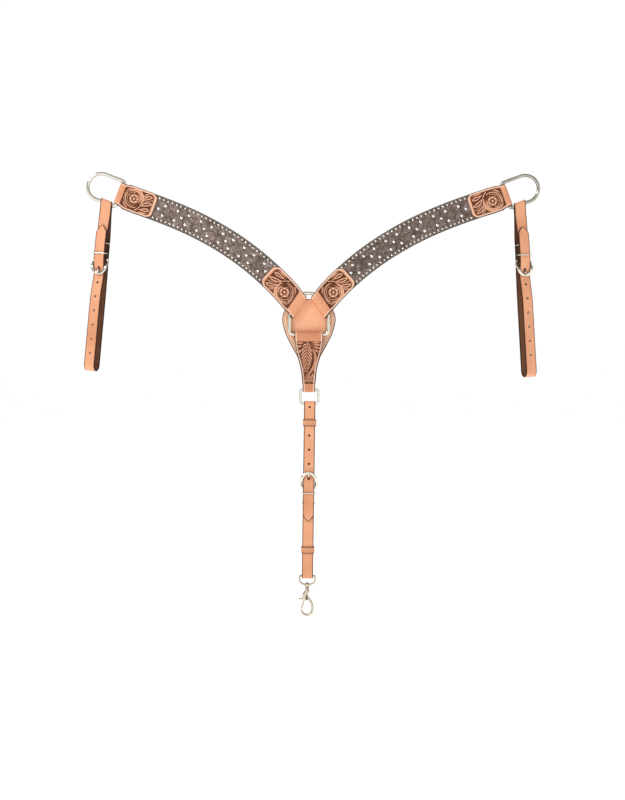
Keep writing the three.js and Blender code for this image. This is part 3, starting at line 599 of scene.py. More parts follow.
# ------------------------------------------------------------------ tooling
class Field:
    """Raised work over points (u, v) in mm, as a height from 0 (the ground) to 1 (the leather's face)."""

    def __init__(self, u, v):
        self.u, self.v = u, v
        self.height = np.zeros(u.shape)

    def paint(self, gap, height):
        """Adds a shape. gap is the distance outside its outline, where it grooves its neighbours."""
        self.height = np.maximum(self.height * smooth(gap, 0.1, 0.95), np.where(gap < 0, height, 0))

    def along(self, path, widths):
        """Gap outside a path's varying half width, distance from it, share of the way and the half width."""
        start, step = path[:-1], np.diff(path, axis=0)
        du, dv = self.u[..., None] - start[:, 0], self.v[..., None] - start[:, 1]
        t = np.clip((du * step[:, 0] + dv * step[:, 1]) / (step ** 2).sum(axis=1), 0, 1)
        distance = np.hypot(du - t * step[:, 0], dv - t * step[:, 1])
        width = widths[:-1] + t * np.diff(widths)
        nearest = (distance - width).argmin(axis=-1)[..., None]

        def pick(values):
            return np.take_along_axis(values, nearest, -1)[..., 0]

        return pick(distance - width), pick(distance), (nearest[..., 0] + pick(t)) / len(step), pick(width)

    def stem(self, path, start, end):
        gap, distance, _, width = self.along(path, np.linspace(start, end, len(path)))
        self.paint(gap, smooth(-gap, 0, 0.5) * (1 - 0.25 * (distance / np.maximum(width, 0.1)) ** 2))

    def leaf(self, path, width, lobes=0, veins=0, swell=0.8, core=0.0):
        """Pointed leaf along a path, with lobed edges, veins, and a hollow core or a groove down its middle.
        It is widest near its root where swell is under 1, and near its tip where it is over 1."""
        t = np.linspace(0, 1, len(path))
        lobed = 1 + 0.16 * np.cos(2 * np.pi * lobes * t)
        widths = width * np.sin(np.pi * t ** swell) ** 0.75 * lobed + 0.25
        gap, distance, share, half = self.along(path, widths)
        out = distance / np.maximum(half, 0.1)
        height = smooth(-gap, 0, 0.55) * (0.8 + 0.2 * out)
        groove = np.exp(-(distance / 0.4) ** 2) * smooth(share, 0.02, 0.15) * (1 - smooth(share, 0.8, 1))
        height -= (0.0 if core else 0.45) * groove
        hollow = core * (1 - smooth(out, 0.22, 0.5)) * smooth(share, 0.4, 0.55)
        height *= 1 - hollow * (1 - smooth(share, 0.86, 0.93))
        if veins:
            wave = np.cos(2 * np.pi * (veins * share - distance * 0.17))
            beside_midrib = smooth(distance, 0.9, 1.7)
            height -= 0.95 * smooth(wave, -0.2, 0.5) * beside_midrib * (1 - smooth(out, 0.93, 1.05))
        self.paint(gap, height)

    def flower(self, u, v, radius, petals, turn=0.0):
        du, dv = self.u - u, self.v - v
        r, angle = np.hypot(du, dv), np.arctan2(dv, du) + turn
        lobe = np.abs(np.cos(petals * angle / 2))
        edge = radius * (0.68 + 0.32 * lobe ** 0.5)
        gap = r - edge
        cup = 0.3 + 0.7 * smooth(r / edge, 0.48, 0.8)
        seams = 1 - (1 - smooth(lobe, 0.12, 0.42)) * smooth(r / edge, 0.2, 0.4)
        self.paint(gap, smooth(-gap, 0, 0.6) * cup * seams)
        button = r - radius * 0.26
        self.paint(button, smooth(-button, 0, 0.6))

    def dot(self, u, v, radius):
        gap = np.hypot(self.u - u, self.v - v) - radius
        self.paint(gap, smooth(-gap, 0, 0.5))


def spiral(u, v, radius_from, radius_to, angle_from, angle_to):
    angle = np.radians(np.linspace(angle_from, angle_to, 40))
    radius = np.linspace(radius_from, radius_to, 40)
    return np.column_stack([u + radius * np.cos(angle), v + radius * np.sin(angle)])


def rosette(field, middle, lift, radius, end):
    """Flower in a round scroll at (middle, lift), and leaves that fan from over it towards u = end."""
    r = radius
    root = middle + 0.6 * r
    reach = end - root

    def fan(*points, count=22):
        """Path through (share of the way from the scroll's side to the end, height across the strap)."""
        return bezier(*[(root + share * reach, v) for share, v in points], count)

    for sign, low, high in ((1, 16.5, 21.0), (-1, 19.0, 21.5)):
        corner_leaf = bezier((middle - 0.35 * r, sign * high), (middle - 0.65 * r, sign * high),
                             (middle - 0.95 * r, sign * low), (middle - 1.16 * r, sign * (low - 7)), 16)
        field.leaf(corner_leaf, 1.7, lobes=3)
    field.leaf(fan((0.19, 21.8), (0.45, 22.4), (0.66, 21.8), (0.8, 19.6)), 1.5)
    field.leaf(fan((0.24, -8), (0.27, -14), (0.34, -19), (0.52, -22)), 2.3, swell=1.6, core=0.8)
    field.stem(fan((0.21, 10), (0.34, -2), (0.6, -9), (0.9, -11.5)), 0.6, 1.0)
    for path, width in ((fan((0.03, 18.5), (0.34, 16), (0.55, 13), (0.86, 12.6)), 3.5),
                        (fan((0.05, 16), (0.24, 8), (0.5, -1), (0.93, -2.8)), 3.6),
                        (fan((0.24, 2), (0.29, -6), (0.45, -15), (0.83, -18.6)), 3.4)):
        field.leaf(path, width, swell=2.3, core=1.0)
    field.stem(fan((-0.07, 21), (0.19, 15), (0.32, 4), (0.22, -9)), 1.2, 0.8)
    field.stem(spiral(middle, lift, r + 3.3, r + 2.9, 118, 212), 0.6, 0.9)
    field.stem(spiral(middle, lift, r, r, 62, 225), 1.1, 1.5)
    field.leaf(spiral(middle, lift, r, 1.02 * r, 205, 392), 3.1, swell=1.15)
    field.stem(spiral(middle, lift, 0.79 * r, 0.77 * r, 75, 268), 0.7, 0.9)
    field.leaf(spiral(middle, lift, 0.72 * r, 0.71 * r, 278, 392), 1.6, swell=1.2)
    for k in range(6):
        turn = math.radians(60 * k + 12)
        step = np.array([math.cos(turn), math.sin(turn)])
        centre = np.array([middle, lift])
        field.leaf(np.linspace(centre + 0.4 * r * step, centre + 0.64 * r * step, 8), 1.4)
    field.flower(middle, lift, 0.54 * r, 6, math.radians(18))


def drop_plant(field):
    """Feathered leaf with a crescent and scrolls round it, narrowing downwards from u = 15 to u = 111."""
    scrolls = [((20, 2), (18, 10), (18, 18), (18.5, 25), 1.7),
               ((22, 3), (22, 12), (24, 20), (24, 25.5), 1.8),
               ((25, 4), (28, 13), (31, 19), (31, 24.5), 1.8),
               ((28, 6), (35, 13), (39, 18), (39, 22.5), 1.7),
               ((20, -9), (19, -15), (20, -20), (19, -26), 1.8),
               ((24, -12), (26, -18), (28, -21), (27, -26), 1.9),
               ((33, -13), (35, -17), (38, -20), (41, -22), 1.9),
               ((60, -13), (70, -13), (78, -11), (86, -8), 1.5),
               ((52, 18.5), (62, 17), (72, 14.5), (84, 10.5), 1.3)]
    for *points, width in scrolls:
        field.leaf(bezier(*points, 16), width, swell=1.6)
    for points in (((86, -2), (92, -5.4), (98, -6.6), (107, -6.4)),
                   ((88, 2.5), (94, 1), (99, 0.5), (108, 0.4)),
                   ((84, 8.5), (92, 8), (98, 7.4), (107, 7.1))):
        field.leaf(bezier(*points, 16), 2.9, swell=1.9, core=1.0)
    field.leaf(spline([(30, 4.5), (43, 13), (57, 14.6), (72, 11), (85, 3), (93, -4.5), (100, -9)], 6), 2.1)
    field.leaf(bezier((19, -3), (34, -6), (54, -4), (86, -5), 26), 10.5, veins=9, swell=0.95)
    field.stem(bezier((17, -3), (34, -6), (54, -4), (82, -5), 26), 1.1, 0.6)
    for u, v in ((19, -1.5), (21, 0.5), (23.5, 1.5)):
        field.dot(u, v, 1.4)


CARVED = 0.95  # depth of the ground below the face


def carve(u, v, inside, draw, rim):
    """Height and dark of a patch that starts rim inside an outline; inside is the distance from it."""
    field = Field(u, v)
    draw(field)
    patch = smooth(inside, rim, rim + 0.5)
    ground = 1 - smooth(field.height, 0.05, 0.6)
    stipple = 0.22 * (RANDOM.random(u.shape) - 0.5) * ground
    height = -CARVED * (1 - field.height + stipple) * patch
    line = np.exp(-((inside - rim + 0.2) / 0.35) ** 2)
    # Painted highlight: the highest parts of the relief take dark under 0, which the leather's colour turns
    # pale.
    painted_highlight = 0.6 * smooth(field.height, 0.7, 1.0)
    dark = np.clip(patch * (1 - smooth(field.height, 0.15, 0.85) - painted_highlight) + 0.7 * line, -1, 1)
    return height - 0.25 * line * (1 - patch), dark


def ended_inside(u, v, front, half, corner):
    """Distance inside an outline that ends at u = front with rounded corners."""
    qu, qv = u - (front - corner), np.abs(v) - (half - corner)
    outside = np.hypot(np.maximum(qu, 0), np.maximum(qv, 0)) + np.minimum(np.maximum(qu, qv), 0)
    return corner - outside


# ------------------------------------------------------------------ where things lie
def turned(origin, about_y, about_z=0.0):
    """Function from a strap's own (x, y, z) to the object's, turning about Z and then about Y, in degrees."""
    y, z = math.radians(about_y), math.radians(about_z)
    round_z = np.array([[math.cos(z), -math.sin(z), 0], [math.sin(z), math.cos(z), 0], [0, 0, 1]])
    round_y = np.array([[math.cos(y), 0, math.sin(y)], [0, 1, 0], [-math.sin(y), 0, math.cos(y)]])
    turn = round_y @ round_z
    return lambda points: np.asarray(points, float) @ turn.T + np.array([origin[0], 0, origin[1]])


def directed(slope, sign):
    return np.array([sign * math.cos(math.radians(slope)), math.sin(math.radians(slope))])


class Course:
    """The curve that a side's yoke strap runs on, from the ring to its dee."""

    def __init__(self, side):
        self.sign = sign = side["sign"]
        shoulder = np.array(RING["shoulder"])
        start = np.array([sign * (RING["top"] + shoulder[0]) / 2, shoulder[1] / 2])
        end = np.array(side["dee"])
        self.curve = bezier(start, start + directed(side["ring_slope"], sign) * side["ring_reach"],
                            end - directed(side["dee_slope"], sign) * side["dee_reach"], end, 1200)
        self.run = run_of(self.curve)
        self.length = self.run[-1]
        self.tangent = np.gradient(self.curve, self.run, axis=0)
        ring_row = np.array([shoulder[0] - RING["top"], sign * shoulder[1]])
        self.ring_row = ring_row / np.linalg.norm(ring_row)
        self.dee_row = directed(side["dee_tilt"] + 90, sign)

    def place(self, along, depth, across):
        """Points on the strap; across is positive on the strap's upper side."""
        u = np.clip(along, 0, self.length)
        tangent = np.column_stack([np.interp(u, self.run, self.tangent[:, k]) for k in (0, 1)])
        tangent /= np.linalg.norm(tangent, axis=1)[:, None]
        centre = np.column_stack([np.interp(u, self.run, self.curve[:, k]) for k in (0, 1)])
        centre += tangent * (along - u)[:, None]
        square = np.column_stack([-tangent[:, 1], tangent[:, 0]]) * self.sign
        row = square.copy()
        length = self.length
        for fixed, share in ((self.ring_row, 1 - smooth(along, 8, 48)),
                             (self.dee_row, smooth(along, length - 48, length - 8))):
            same_way = fixed * np.sign(square @ fixed)[:, None]
            row += (same_way - row) * share[:, None]
        row /= np.linalg.norm(row, axis=1)[:, None]
        row *= (across / np.einsum("ij,ij->i", row, square))[:, None]
        return np.column_stack([centre[:, 0] + row[:, 0], depth, centre[:, 1] + row[:, 1]])


# ------------------------------------------------------------------ stitches and studs
STITCH = 4.3  # distance from one stitch to the next
STITCH_SIZE = (1.55, 0.6, 0.45)  # half length, half width and height
STITCH_SINK = dict(tooled=0.12, print=0.1)  # how far a stitch's middle lies under the leather's face
EDGE_SEAM = dict(inset=1.6, tuck=9.0, points=90)  # from the overlay's edge, and on under the chapes


def beads(points, directions, normals, size):
    """Small rounded stitches. size is (half length, half width, height) along, across and off the leather."""
    rows, facets = 5, 8
    latitude = np.radians(np.linspace(-90, 90, rows + 2))[1:-1]
    longitude = 2 * np.pi * np.arange(facets) / facets
    ball = [(math.sin(a), math.cos(a) * math.cos(b), math.cos(a) * math.sin(b))
            for a in latitude for b in longitude]
    ball = np.array(ball + [(-1, 0, 0), (1, 0, 0)])
    one = grid_faces(rows, facets).tolist()
    for k in range(facets):
        after = (k + 1) % facets
        one.append([rows * facets, k, after])
        one.append([rows * facets + 1, (rows - 1) * facets + after, (rows - 1) * facets + k])
    sides = np.cross(normals, directions)
    parts = []
    for point, direction, normal, side in zip(points, directions, normals, sides):
        basis = np.array([direction * size[0], side * size[1], normal * size[2]])
        verts = ball @ basis + point
        parts.append((verts, one if np.linalg.det(basis) > 0 else [f[::-1] for f in one]))
    return together(parts)


def stitch_path(place, path, depth, pitch):
    """Places and directions of stitches along a path of (u, v), lying at a depth."""
    run = run_of(path)
    count = max(int(run[-1] / pitch), 2)
    at = (np.arange(count) + 0.5) * run[-1] / count
    ends = []
    for step in (-0.4, 0.4):
        u, v = (np.interp(at + step, run, path[:, k]) for k in (0, 1))
        ends.append(place(u, np.full(count, float(depth)), v))
    direction = ends[1] - ends[0]
    direction /= np.linalg.norm(direction, axis=1)[:, None]
    return (ends[0] + ends[1]) / 2, direction


def stitches(name, body, runs):
    """One mesh of all the stitches of several runs of (points, directions), facing forwards."""
    points = np.vstack([p for p, _ in runs])
    directions = np.vstack([d for _, d in runs])
    normals = np.tile([0.0, -1.0, 0.0], (len(points), 1))
    make_piece(name, *beads(points, directions, normals, STITCH_SIZE), body, "thread", [THREAD])


def dome(radius, height):
    """Polished nail head: a low dome on a thin foot, its top towards +Z."""
    turn = np.radians(np.linspace(0, 90, 7))
    profile = [(0, -0.3), (radius, -0.3), (radius, 0.15)]
    profile += [(radius * math.cos(a), 0.15 + height * math.sin(a)) for a in turn[1:-1]]
    return lathe(profile + [(0, 0.15 + height)], 20)


def studs(name, body, points, radius, height, material):
    verts, faces = dome(radius, height)
    forward = np.column_stack([verts[:, 0], -verts[:, 2], verts[:, 1]])
    make_piece(name, *together([(forward + p, faces) for p in points]), body, "nickel", [material])


# ------------------------------------------------------------------ yokes
OVERLAY_FRONT = -YOKE["gap"] / 2 - YOKE["overlay"]
LINING_BACK = YOKE["gap"] / 2 + YOKE["lining"]
EDGE_STUD = dict(pitch=10.2, inset=6.3, radius=2.15, height=1.3, from_ring=(-1.0, 2.6), from_dee=3.4)
FIELD_STUD = dict(from_ring=6.0, from_dee=8.6, spread=0.262, across=11.2, radius=3.3, height=1.9, sets=5)
DARK_STUD = dict(radius=1.9, height=0.9)
THREAD_INSET = 2.5
RING_ROSETTE, DEE_ROSETTE = (39.0, -3.5, 20.5), (32.5, -2.0, 19.5)  # middle, lift and radius


def straight_layer(course, depth, inset):
    """Middle line and half widths of a yoke's layer that keeps one depth."""
    end = course.length - YOKE["end"]
    stations = np.append(np.arange(YOKE["end"], end, 2.4), end)
    line = np.column_stack([stations, np.full(len(stations), depth)])
    return line, np.full(len(line), YOKE["width"] / 2 - inset)


def chape_line(size):
    """Middle line of a chape folded round a bar at u = 0: front leg, fold and back leg."""
    fold = size["bore"] + CHAPE / 2
    front = OVERLAY_FRONT - YOKE["gap"] - CHAPE / 2
    back = LINING_BACK + YOKE["gap"] + CHAPE / 2
    bend = arc((0, 0), fold, -90, -270, 40) * ((size["reach"] + CHAPE / 2) / fold, 1)
    return chain((size["front"], front), bezier((22, front), (11, front), (11, -fold), (0, -fold)), bend,
                 bezier((0, fold), (11, fold), (11, back), (22, back)), (size["back"], back))


def chape_half(size, line, run):
    full = size["half"] + (YOKE["width"] / 2 - size["half"]) * smooth(line[:, 0], 0, 24)
    into = np.clip(line[:, 0] - (size["front"] - size["corner"]), 0, size["corner"])
    rounded = full - 0.98 * (size["corner"] - np.sqrt(size["corner"] ** 2 - into ** 2))
    return np.where(run < size["front"], rounded, full)


def chape(name, course, size, body, from_dee, up, pattern):
    coarse = chape_line(size)
    corner = size["corner"]
    ease = corner * (1 - np.cos(np.linspace(0, np.pi / 2, 70)[:-1]))
    fine = resample(coarse, 0.8, fine=(0, size["front"] - size["patch"] + 8, 0.38))
    tip = np.column_stack([size["front"] - ease, np.full(len(ease), coarse[0, 1])])
    line = np.vstack([tip, fine[run_of(fine) > corner]])
    rows = run_of(line)

    def place(along, depth, across):
        return course.place(course.length - along if from_dee else along, depth, across)

    def relief(runs, across, half):
        u = np.interp(runs, rows, line[:, 0])
        side = ended_inside(u, across, size["front"], YOKE["width"] / 2, corner) - YOKE["width"] / 2
        inside = np.minimum(side + np.minimum(half, YOKE["width"] / 2), RIM + (u - size["patch"]))
        height, dark = carve(u, up * across, inside, pattern, RIM)
        away = runs > size["front"]
        return np.where(away, 0, height), np.where(away, 0, dark)

    half = chape_half(size, line, rows)
    leather(name, line, CHAPE, half, place, body, "leather_tooled", [TOOLED_LEATHER, EDGE], fine=160,
            outer=1, relief=relief)
    return place


def chape_stitch_path(size):
    """Stitch line round a chape's front, inside its edge."""
    half = YOKE["width"] / 2
    radius = max(size["corner"] - THREAD_INSET + 0.6, 2)
    reach, side = size["front"] - THREAD_INSET + 0.6, half - THREAD_INSET + 0.6
    return chain((22, -side), arc((reach - radius, radius - side), radius, -90, 0),
                 arc((reach - radius, side - radius), radius, 0, 90), (22, side))


def yoke_seams(name, course, low, high, chapes):
    """Stitches round both chapes' fronts and along both edges of the overlay, from low to high."""
    front = OVERLAY_FRONT - YOKE["gap"] - CHAPE + STITCH_SINK["tooled"]
    seams = [stitch_path(place, chape_stitch_path(size), front, STITCH) for place, size in chapes]
    tuck, count = EDGE_SEAM["tuck"], EDGE_SEAM["points"]
    edge = YOKE["width"] / 2 - YOKE["inset"] - EDGE_SEAM["inset"]
    for v in (-edge, edge):
        path = np.array([(low - tuck + k * (high - low + 2 * tuck) / count, v) for k in range(count + 1)])
        seams.append(stitch_path(course.place, path, OVERLAY_FRONT + STITCH_SINK["print"], STITCH))
    stitches(f"{name}_stitching", f"{name}_yoke", seams)


def yoke_studs(name, course, low, high):
    """Sets of large studs between the chapes, small ones along both edges and dark spots in the sets."""
    sets, spread, across = (FIELD_STUD[k] for k in ("sets", "spread", "across"))
    start = low + FIELD_STUD["from_ring"]
    pitch = (high - FIELD_STUD["from_dee"] - start) / sets
    bright = [(start + k * pitch, 0.0) for k in range(sets + 1)]
    spots = [(start + (k + 0.5) * pitch, 0.0) for k in range(sets)]
    bright += [(middle + a * spread * pitch, b * across)
               for middle, _ in spots for a in (-1, 1) for b in (-1, 1)]
    row = YOKE["width"] / 2 - EDGE_STUD["inset"]
    rows = []
    for v, from_ring in zip((row, -row), EDGE_STUD["from_ring"]):
        first = low + from_ring
        span = high - EDGE_STUD["from_dee"] - first
        count = round(span / EDGE_STUD["pitch"])
        rows += [(first + k * span / count, v) for k in range(count + 1)]
    for kind, places, size, material in (("field_studs", bright, FIELD_STUD, STUD),
                                         ("edge_studs", rows, EDGE_STUD, STUD),
                                         ("dark_spots", spots, DARK_STUD, DARK_SPOT_AND_RECESS_SHADE)):
        u, v = np.array(places).T
        on_face = course.place(u, np.full(len(u), OVERLAY_FRONT), v)
        studs(f"{name}_{kind}", f"{name}_yoke", on_face, size["radius"], size["height"], material)


def yoke(name, side):
    course = Course(side)
    body = f"{name}_yoke"
    lining, half = straight_layer(course, (YOKE["gap"] + YOKE["lining"]) / 2, 0)
    leather(f"{body}_lining", lining, YOKE["lining"], half, course.place, body, "leather_lining",
            [BACK_LEATHER, EDGE], fine=24, round_edge=1.2)
    overlay, half = straight_layer(course, -(YOKE["gap"] + YOKE["overlay"]) / 2, YOKE["inset"])
    leather(f"{body}_overlay", overlay, YOKE["overlay"], half, course.place, body, "leather_print",
            [PRINT[name], PRINT_EDGE], fine=40, round_edge=0.5)
    ring_size = dict(RING_CHAPE, front=side["ring_front"])
    dee_size = dict(DEE_CHAPE, front=side["dee_front"])
    ring_up, dee_up = side["fan_up"]
    at_ring = chape(f"{name}_ring_chape", course, ring_size, body, False, ring_up,
                    lambda field: rosette(field, *RING_ROSETTE, side["ring_front"] - RIM))
    at_dee = chape(f"{name}_dee_chape", course, dee_size, body, True, dee_up,
                   lambda field: rosette(field, *DEE_ROSETTE, side["dee_front"] - RIM))
    low, high = side["ring_front"], course.length - side["dee_front"]
    yoke_seams(name, course, low, high, ((at_ring, ring_size), (at_dee, dee_size)))
    yoke_studs(name, course, low, high)


# ------------------------------------------------------------------ rings and dees
def flat_wire(outline, radius, spacing=1.2):
    """Verts and faces of a round wire bent to a closed outline of (x, z)."""
    points = at_depth(closed_line(outline, spacing))
    return sweep(points, DEPTH_AXIS, (radius, radius), closed=True, facets=28)


def centre_ring():
    shoulder, corner = RING["shoulder"], RING["corner"]
    foot = (shoulder[0], RING["foot_z"], RING["foot"])
    right = [(RING["top"], 0, corner), (*shoulder, corner), foot]
    outline = rounded_outline(right + [(-x, z, r) for x, z, r in right[::-1]], 24)
    stand_in("centre_ring", *flat_wire(outline, RING["wire"]), "centre_ring", "nickel", [NICKEL])


def dee(name, side):
    half, corner, leg, tilt = DEE["half"], DEE["corner"], DEE["leg"], side["dee_tilt"]
    corners = [(0, half, corner), (0, -half, corner), (leg + half, -half, half), (leg + half, half, half)]
    verts, faces = flat_wire(rounded_outline(corners, 40), DEE["wire"])
    place = turned(side["dee"], -tilt if side["sign"] > 0 else 180 + tilt)
    stand_in(f"{name}_dee", place(verts), faces, f"{name}_dee", "nickel", [DEE_METAL[name]])


def small_dee():
    top = RING["foot_z"] - DROP["length"]
    half, depth, corner, bend, x = (SMALL_DEE[k] for k in ("half", "depth", "corner", "round", "x"))
    outline = rounded_outline([(x + half, top, corner), (x + half, top - depth, bend),
                               (x - half, top - depth, bend), (x - half, top, corner)], 20)
    stand_in("drop_dee", *flat_wire(outline, SMALL_DEE["wire"], 0.9), "drop_dee", "nickel", [NICKEL])


# ------------------------------------------------------------------ centre drop
def drop_place(along, depth, across):
    return np.column_stack([across, depth, RING["foot_z"] - along])


DROP_PATCH = (16.0, 110.5)
DROP_RIM = 4.4
DROP_WIDTHS = [(-10, 32.5), (12, 31.8), (36, 28), (58, 22.3), (78, 17.6), (98, 14.8), (116, 14), (136, 14)]


def drop_half(along):
    table = spline(DROP_WIDTHS, 12)
    return np.interp(along, table[:, 0], table[:, 1])


def drop_front():
    length, ring_fold, dee_fold, leg = (DROP[k] for k in ("length", "ring_fold", "dee_fold", "leg"))
    behind = chain(bezier((30, 0.2), (18, 0.2), (14, ring_fold), (0, ring_fold)),
                   arc((0, 0), ring_fold, 90, 270, 30),
                   bezier((0, -ring_fold), (16, -ring_fold), (22, -leg), (40, -leg)))
    into, mid = length - 12, length - 8  # where the bends to the small dee's fold start, and their handles
    line = chain(behind, (into, -leg),
                 bezier((into, -leg), (mid, -leg), (length - 6, -dee_fold), (length, -dee_fold)),
                 arc((length, 0), dee_fold, -90, 90, 24),
                 bezier((length, dee_fold), (length - 6, dee_fold), (mid, leg), (into, leg)),
                 (length - 38, leg))
    at_forty = run_of(behind)[-1]
    first = at_forty - (40 - DROP_PATCH[0]) - 4
    line = resample(line, 0.8, fine=(first, at_forty + DROP_PATCH[1] - 40 + 2, 0.4))
    rows = run_of(line)

    def relief(runs, across, half):
        u = np.interp(runs, rows, line[:, 0])
        from_end = np.minimum(u - DROP_PATCH[0], DROP_PATCH[1] - u)
        inside = np.minimum(half - np.abs(across), DROP_RIM + from_end)
        height, dark = carve(u, across, inside, drop_plant, DROP_RIM)
        away = (runs < first) | (runs > at_forty + DROP_PATCH[1] - 36)
        return np.where(away, 0, height), np.where(away, 0, dark)

    leather("drop_front", line, DROP["thickness"], drop_half(line[:, 0]), drop_place, "centre_drop",
            "leather_tooled", [DROP_LEATHER, EDGE], fine=150, relief=relief)
    drop_seams(ring_fold, leg)


def drop_seams(ring_fold, leg):
    """Stitches down both edges of the drop's patch."""
    u = np.linspace(DROP_PATCH[0] - 2, DROP_PATCH[1], 40)
    face = -np.interp(u, [0, 16, 40], [ring_fold, ring_fold - 1.2, leg]) - DROP["thickness"] / 2
    runs = []
    for side in (-1, 1):
        path = np.column_stack([u, side * (drop_half(u) - 2.2)])
        run = run_of(path)
        at = np.arange(1.5, run[-1], STITCH)
        uu, vv, depth = (np.interp(at, run, values) for values in (path[:, 0], path[:, 1], face))
        points = drop_place(uu, depth + STITCH_SINK["tooled"], vv)
        direction = np.gradient(points, axis=0)
        runs.append((points, direction / np.linalg.norm(direction, axis=1)[:, None]))
    stitches("drop_stitching", "centre_drop", runs)


def ring_backer():
    depth = BACKER["depth"]
    stations = spline([(-80, depth, 8), (-79, depth, 22), (-72, depth, 38), (-58, depth, 53),
                       (-40, depth, 59.6), (-24, depth, 59), (0, depth, 52), (14, depth * 0.94, 45),
                       (30, depth * 0.55, 37), (44, depth * 0.15, 29), (54, 0, 24.5), (80, 0, 18),
                       (112, 0, 14.4)], 20)  # along, depth and half width
    stations = resample(stations, 0.75)
    line, half = stations[:, :2], stations[:, 2]
    edge = np.vstack([np.column_stack([line[:, 0], half]), [(line[0, 0], 0)]])
    edge_run = run_of(edge[::-1])[::-1]
    coarse = edge[::6]

    def relief(runs, across, _):
        u = np.interp(runs, run_of(line), line[:, 0])
        near = Field(u, np.abs(across))
        _, distance, share, _ = near.along(coarse, np.zeros(len(coarse)))
        along_edge = np.interp(share * (len(coarse) - 1) * 6, np.arange(len(edge)), edge_run)
        rope = np.zeros_like(u)
        for centre, radius, pitch in ((3.6, 1.8, 4.2), (7.6, 2.0, 4.4)):
            off = distance - centre
            bead = np.hypot(off, (np.mod(along_edge + off * 0.5, pitch) - pitch / 2) * radius / (pitch / 2))
            rope = np.maximum(rope, np.sqrt(np.clip(1 - (bead / radius) ** 2, 0, 1)))
        below_top = smooth(u, -66, -58)
        band = smooth(distance, 1.6, 2.0) * (1 - smooth(distance, 9.3, 9.8)) * below_top
        line_groove = np.exp(-((distance - 10.6) / 0.4) ** 2) * below_top
        panel = np.exp(-((np.abs(across) - 37.6) / 0.5) ** 2) * smooth(-u, 4, 8)
        height = -0.8 * (1 - rope) * band - 0.4 * line_groove - 0.7 * panel
        # The stain lies between the rope's beads; the beads' tops take dark under 0, a painted highlight.
        return height, np.clip(band * (0.55 * (1 - rope) - rope) + 0.35 * line_groove + panel, -1, 1)

    leather("ring_backer", line, BACKER["thickness"], half, drop_place, "centre_drop", "leather_tooled",
            [BACKER_LEATHER, EDGE], fine=170, relief=relief)


# ------------------------------------------------------------------ buckled straps
def buckled_line(upper, upper_fold, lower, lower_fold):
    """One strap from its end behind the buckle, over the upper wire, down, round the lower bend and back up
    through the buckle to its tip. Points are (height above the heel bar, depth)."""
    fold = BUCKLE["heel"] + YOKE["gap"] + STRAP["thickness"] / 2
    front, behind = BUCKLE["depth"] - fold, BUCKLE["depth"] + fold
    past, over = 9.4, -13  # depths of the run behind the buckle and of the tip over it
    heel = arc((0, BUCKLE["depth"]), fold, 90, 270)
    top = arc((upper, 0), upper_fold, -90, 90)
    bottom = arc((-lower, 0), lower_fold, 90, 270)
    return chain(
        (45, behind), heel, (48, front),
        bezier((48, front), (62, front), (70, -upper_fold), (90, -upper_fold)), top,
        (105, upper_fold), bezier((105, upper_fold), (78, upper_fold), (62, past), (35, past)),
        bezier((35, past), (-10, past), (-20, lower_fold), (-100, lower_fold)), bottom, (-100, -lower_fold),
        bezier((-100, -lower_fold), (-70, -lower_fold), (-50, -5.2), (-29, -5.2)),
        bezier((-29, -5.2), (-20, -5.6), (-16, -12.4), (12, over)),
        bezier((12, over), (35, over), (50, -12.2), (STRAP["tip"], -11.8)))


def creased(_, across, half):
    """Shallow line pressed along both edges."""
    line = np.exp(-((half - np.abs(across) - 2.3) / 0.4) ** 2)
    return -0.22 * line, np.zeros_like(line)


CREASED_COLUMNS = np.array([0.0, 0.3, 0.6, 0.74, 0.78, 0.8, 0.82, 0.84, 0.86, 0.88, 0.92, 0.96, 1.0])


def buckled_strap(name, course, place, body):
    line = resample(buckled_line(*course), 1.3)
    run = run_of(line)
    past = line[:, 0] - (STRAP["tip"] - STRAP["taper"])
    pointed = STRAP["half"] * (1 - (np.maximum(past, 0) / (STRAP["taper"] + 1.5)) ** 1.4)
    half = np.where((past > 0) & (run > run[-1] - 30), pointed, STRAP["half"])
    columns = np.concatenate([-CREASED_COLUMNS[::-1], CREASED_COLUMNS[1:]])
    return leather(name, line, STRAP["thickness"], half, place, body, "leather_strap",
                   [STRAP_LEATHER, EDGE, SHADED_FLESH], fine=columns, relief=creased, round_edge=1.1)


def bored(radius, length, x, y, z, stretch=1.0):
    """Round or oval post along Y about (x, y, z)."""
    verts, faces = lathe([(0, -length / 2), (radius, -length / 2), (radius, length / 2), (0, length / 2)], 20)
    return np.column_stack([verts[:, 0] + x, verts[:, 2] + y, verts[:, 1] * stretch + z]), faces


def punch(piece, to_world, holes):
    """Punches the billet's holes, the tongue's hole and the slot where the strap folds round the heel bar."""
    cutters = [bored(STRAP["hole"], 20, 0, -12, -HOLE_AT - k * STRAP["pitch"]) for k in holes]
    cutters.append(bored(2.8, 9, 0, -9.6, -HOLE_AT, 1.7))
    cutters.append(bored(2.9, 11.6, 0, BUCKLE["depth"], 0, 2.9))
    # The holes' walls take the inner faces' darkened flesh side, which is partly painted shade.
    cut_with(piece, [placed(to_world, *cutter) for cutter in cutters], INNER)


